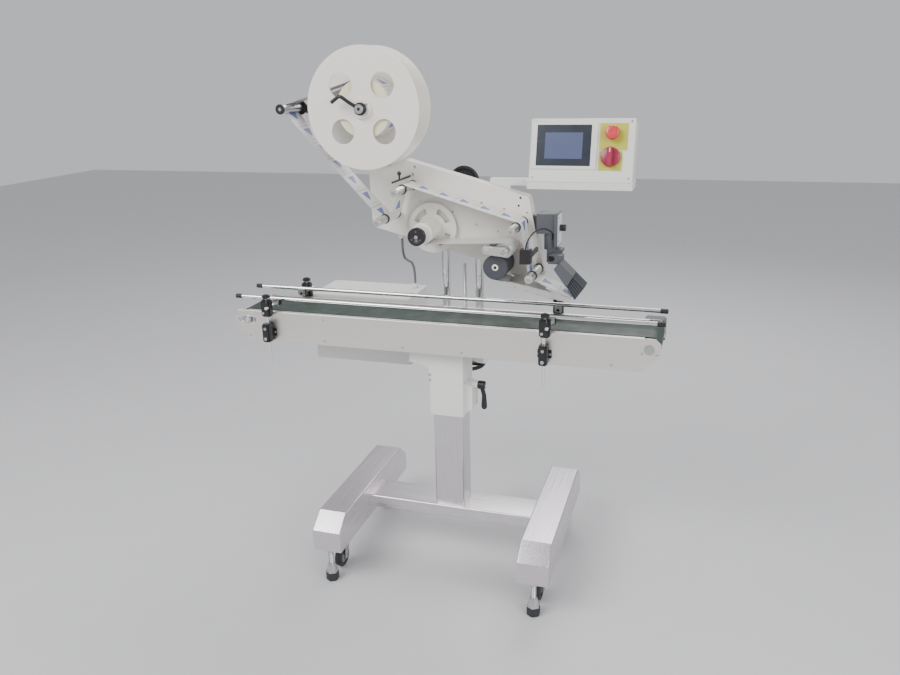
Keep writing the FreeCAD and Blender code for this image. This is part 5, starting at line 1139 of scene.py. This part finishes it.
def build_hmi():
    """Operator's box with its screen, plates, stop button and switch."""
    dress("hmi_arm", HMI_WHITE, 0.8)
    dress("hmi_box", HMI_WHITE, 1.5)
    lo = low_high("hmi_box")[0]
    corner = Vector((lo.x, 40, lo.z + 2))

    def on_face(u, v, out=0.0):
        return corner + X * u + FACE_UP * v + FACE_OUT * out

    def plate(u0, v0, u1, v1, depth, mat, bevel):
        points = [(0, 0), (u1 - u0, 0), (u1 - u0, v1 - v0), (0, v1 - v0)]
        face.prism(points, on_face(u0, v0, -0.2), X, FACE_UP, depth + 0.2, mat, bevel)

    face = Build("hmi_face", "head")
    plate(3, 32, 183, 157, 3.0, HMI_WHITE, 1.2)
    plate(18, 41, 166, 151, 3.5, SCREEN, 0.5)
    plate(41, 60, 143, 130, 3.8, DISPLAY, 0.2)
    plate(187, 84, 262, 155, 0.9, YELLOW, 0.4)
    plate(188, 30, 250, 82, 0.9, YELLOW, 0.4)
    for u in (10, 270):
        for v in (10, 160):
            face.screw(on_face(u, v, -0.2), FACE_OUT, 3.0, 1.6)
    face.lathe(on_face(222, 128, 0.4), FACE_OUT, [(9.3, 0), (15, 0), (15, 6), (13.5, 8), (9.3, 8)], BLACK)
    face.done()

    stop = stand_in("stop_mushroom", "emergency_stop")
    stop.lathe(on_face(222, 128, 0.3), FACE_OUT,
               [(0, -10), (8.9, -10), (8.9, 14), (14, 14), (17.5, 15), (19, 17.5), (19, 20.5),
                (17, 23.6), (12.5, 25.3), (7.5, 24.9), (0, 24.6)], RED, 56)
    stop.done()
    switch = stand_in("main_switch_made", "main_switch")
    base = on_face(219, 66, 0.3)
    switch.lathe(base, FACE_OUT, [(0, 0), (26, 0), (26, 8.5), (24.5, 11), (22, 12), (0, 12)], CRIMSON, 56)
    bar = [(-7, -22), (-4, -24), (4, -24), (7, -22), (7, 22), (4, 24), (-4, 24), (-7, 22)]
    switch.prism(bar, base + FACE_OUT * 11.5, X, FACE_UP, 15.5, CRIMSON, 1.6)
    switch.prism([(-1.2, 10), (1.2, 10), (1.2, 21), (-1.2, 21)], base + FACE_OUT * 26.6, X, FACE_UP,
                 0.5, WHITE, 0.1)
    switch.done()


# ----------------------------------------------------------------- cable
CABLE_ROUTE = [(-141, 75, 1004), (-141, 75, 959), (-144, 97, 931), (-151, 145, 911), (-159, 197, 894),
               (-164, 229, 869), (-165, 238, 841), (-165, 238, 808)]


def rounded(points):
    """Straight runs with tangent arcs, as the part's own cable."""
    nodes = [Vector(p) for p in points]
    out = [nodes[0]]
    for i in range(1, len(nodes) - 1):
        here = nodes[i]
        back, ahead = nodes[i - 1] - here, nodes[i + 1] - here
        reach = 0.45 * min(back.length, ahead.length)
        a, b = here + back.normalized() * reach, here + ahead.normalized() * reach
        for k in range(7):
            t = k / 6
            out.append(a * (1 - t) ** 2 + here * 2 * t * (1 - t) + b * t * t)
    return out + [nodes[-1]]


def build_cable():
    path = rounded(CABLE_ROUTE)
    split = len(path) // 2
    upper, lower = path[:split + 1], path[split:]
    for name, points in (("head_cable_upper", upper), ("head_cable_lower", lower)):
        tube = Build(name, None)
        tube.tube(points, 4.0, CABLE, 20)
        obj = tube.done()
        if name.endswith("upper"):
            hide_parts("head_cable")
            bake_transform(obj)
        else:
            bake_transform(obj)


# ----------------------------------------------------------------- stage
def area_light(name, at, aim, size, power):
    light = bpy.data.lights.new(name, "AREA")
    light.shape = "RECTANGLE"
    light.size, light.size_y = size
    light.energy = power
    obj = bpy.data.objects.new(name, light)
    obj.location = at
    obj.rotation_euler = (Vector(aim) - Vector(at)).to_track_quat("-Z", "Y").to_euler()
    bpy.context.scene.collection.objects.link(obj)
    return obj


def build_stage():
    """Pale floor, soft light and the camera at the viewing angle."""
    floor = plain("pale_floor", (0.62, 0.62, 0.63), 0.6, 0.0, 0.02, 40.0, 0.02)
    mesh = bpy.data.meshes.new("floor")
    mesh.from_pydata([(-9, -6, -0.001), (9, -6, -0.001), (9, 9, -0.001), (-9, 9, -0.001)], [], [(0, 1, 2, 3)])
    mesh.materials.append(floor)
    ground = bpy.data.objects.new("floor", mesh)
    bpy.context.scene.collection.objects.link(ground)
    lights = [area_light("key", (-1.8, -2.6, 3.4), (0, 0, 0.9), (2.4, 1.8), 130),
              area_light("fill", (2.8, -2.2, 2.2), (0, 0, 0.8), (2.4, 2.0), 70),
              area_light("back", (0.4, 2.6, 3.0), (0, 0, 0.9), (2.6, 1.6), 60)]
    world = bpy.data.worlds.new("studio")
    bpy.context.scene.world = world
    world.use_nodes = True
    background = world.node_tree.nodes["Background"]
    background.inputs["Color"].default_value = (0.80, 0.81, 0.84, 1)
    background.inputs["Strength"].default_value = 0.75

    azimuth, elevation, roll = math.radians(17.99), math.radians(18.52), math.radians(-1.40)
    back = Vector((math.sin(azimuth) * math.cos(elevation), -math.cos(azimuth) * math.cos(elevation),
                   math.sin(elevation)))
    right = Vector((math.cos(azimuth), math.sin(azimuth), 0))
    up = back.cross(right)
    turned_right = right * math.cos(roll) + up * math.sin(roll)
    turned_up = up * math.cos(roll) - right * math.sin(roll)
    lens = bpy.data.cameras.new("camera")
    lens.lens = 32.36
    lens.sensor_width = 36
    camera = bpy.data.objects.new("camera", lens)
    camera.matrix_world = Matrix((
        (turned_right.x, turned_up.x, back.x, 0.7295), (turned_right.y, turned_up.y, back.y, -2.1642),
        (turned_right.z, turned_up.z, back.z, 1.4819), (0, 0, 0, 1)))
    bpy.context.scene.collection.objects.link(camera)
    bpy.context.scene.camera = camera


build_base()
build_sleeve()
build_conveyor()
build_guides()
build_cabinet()
build_lift()
build_head()
build_reel()
build_rollers()
build_peel()
build_web()
build_brush()
build_fittings()
build_hmi()
build_cable()
build_stage()
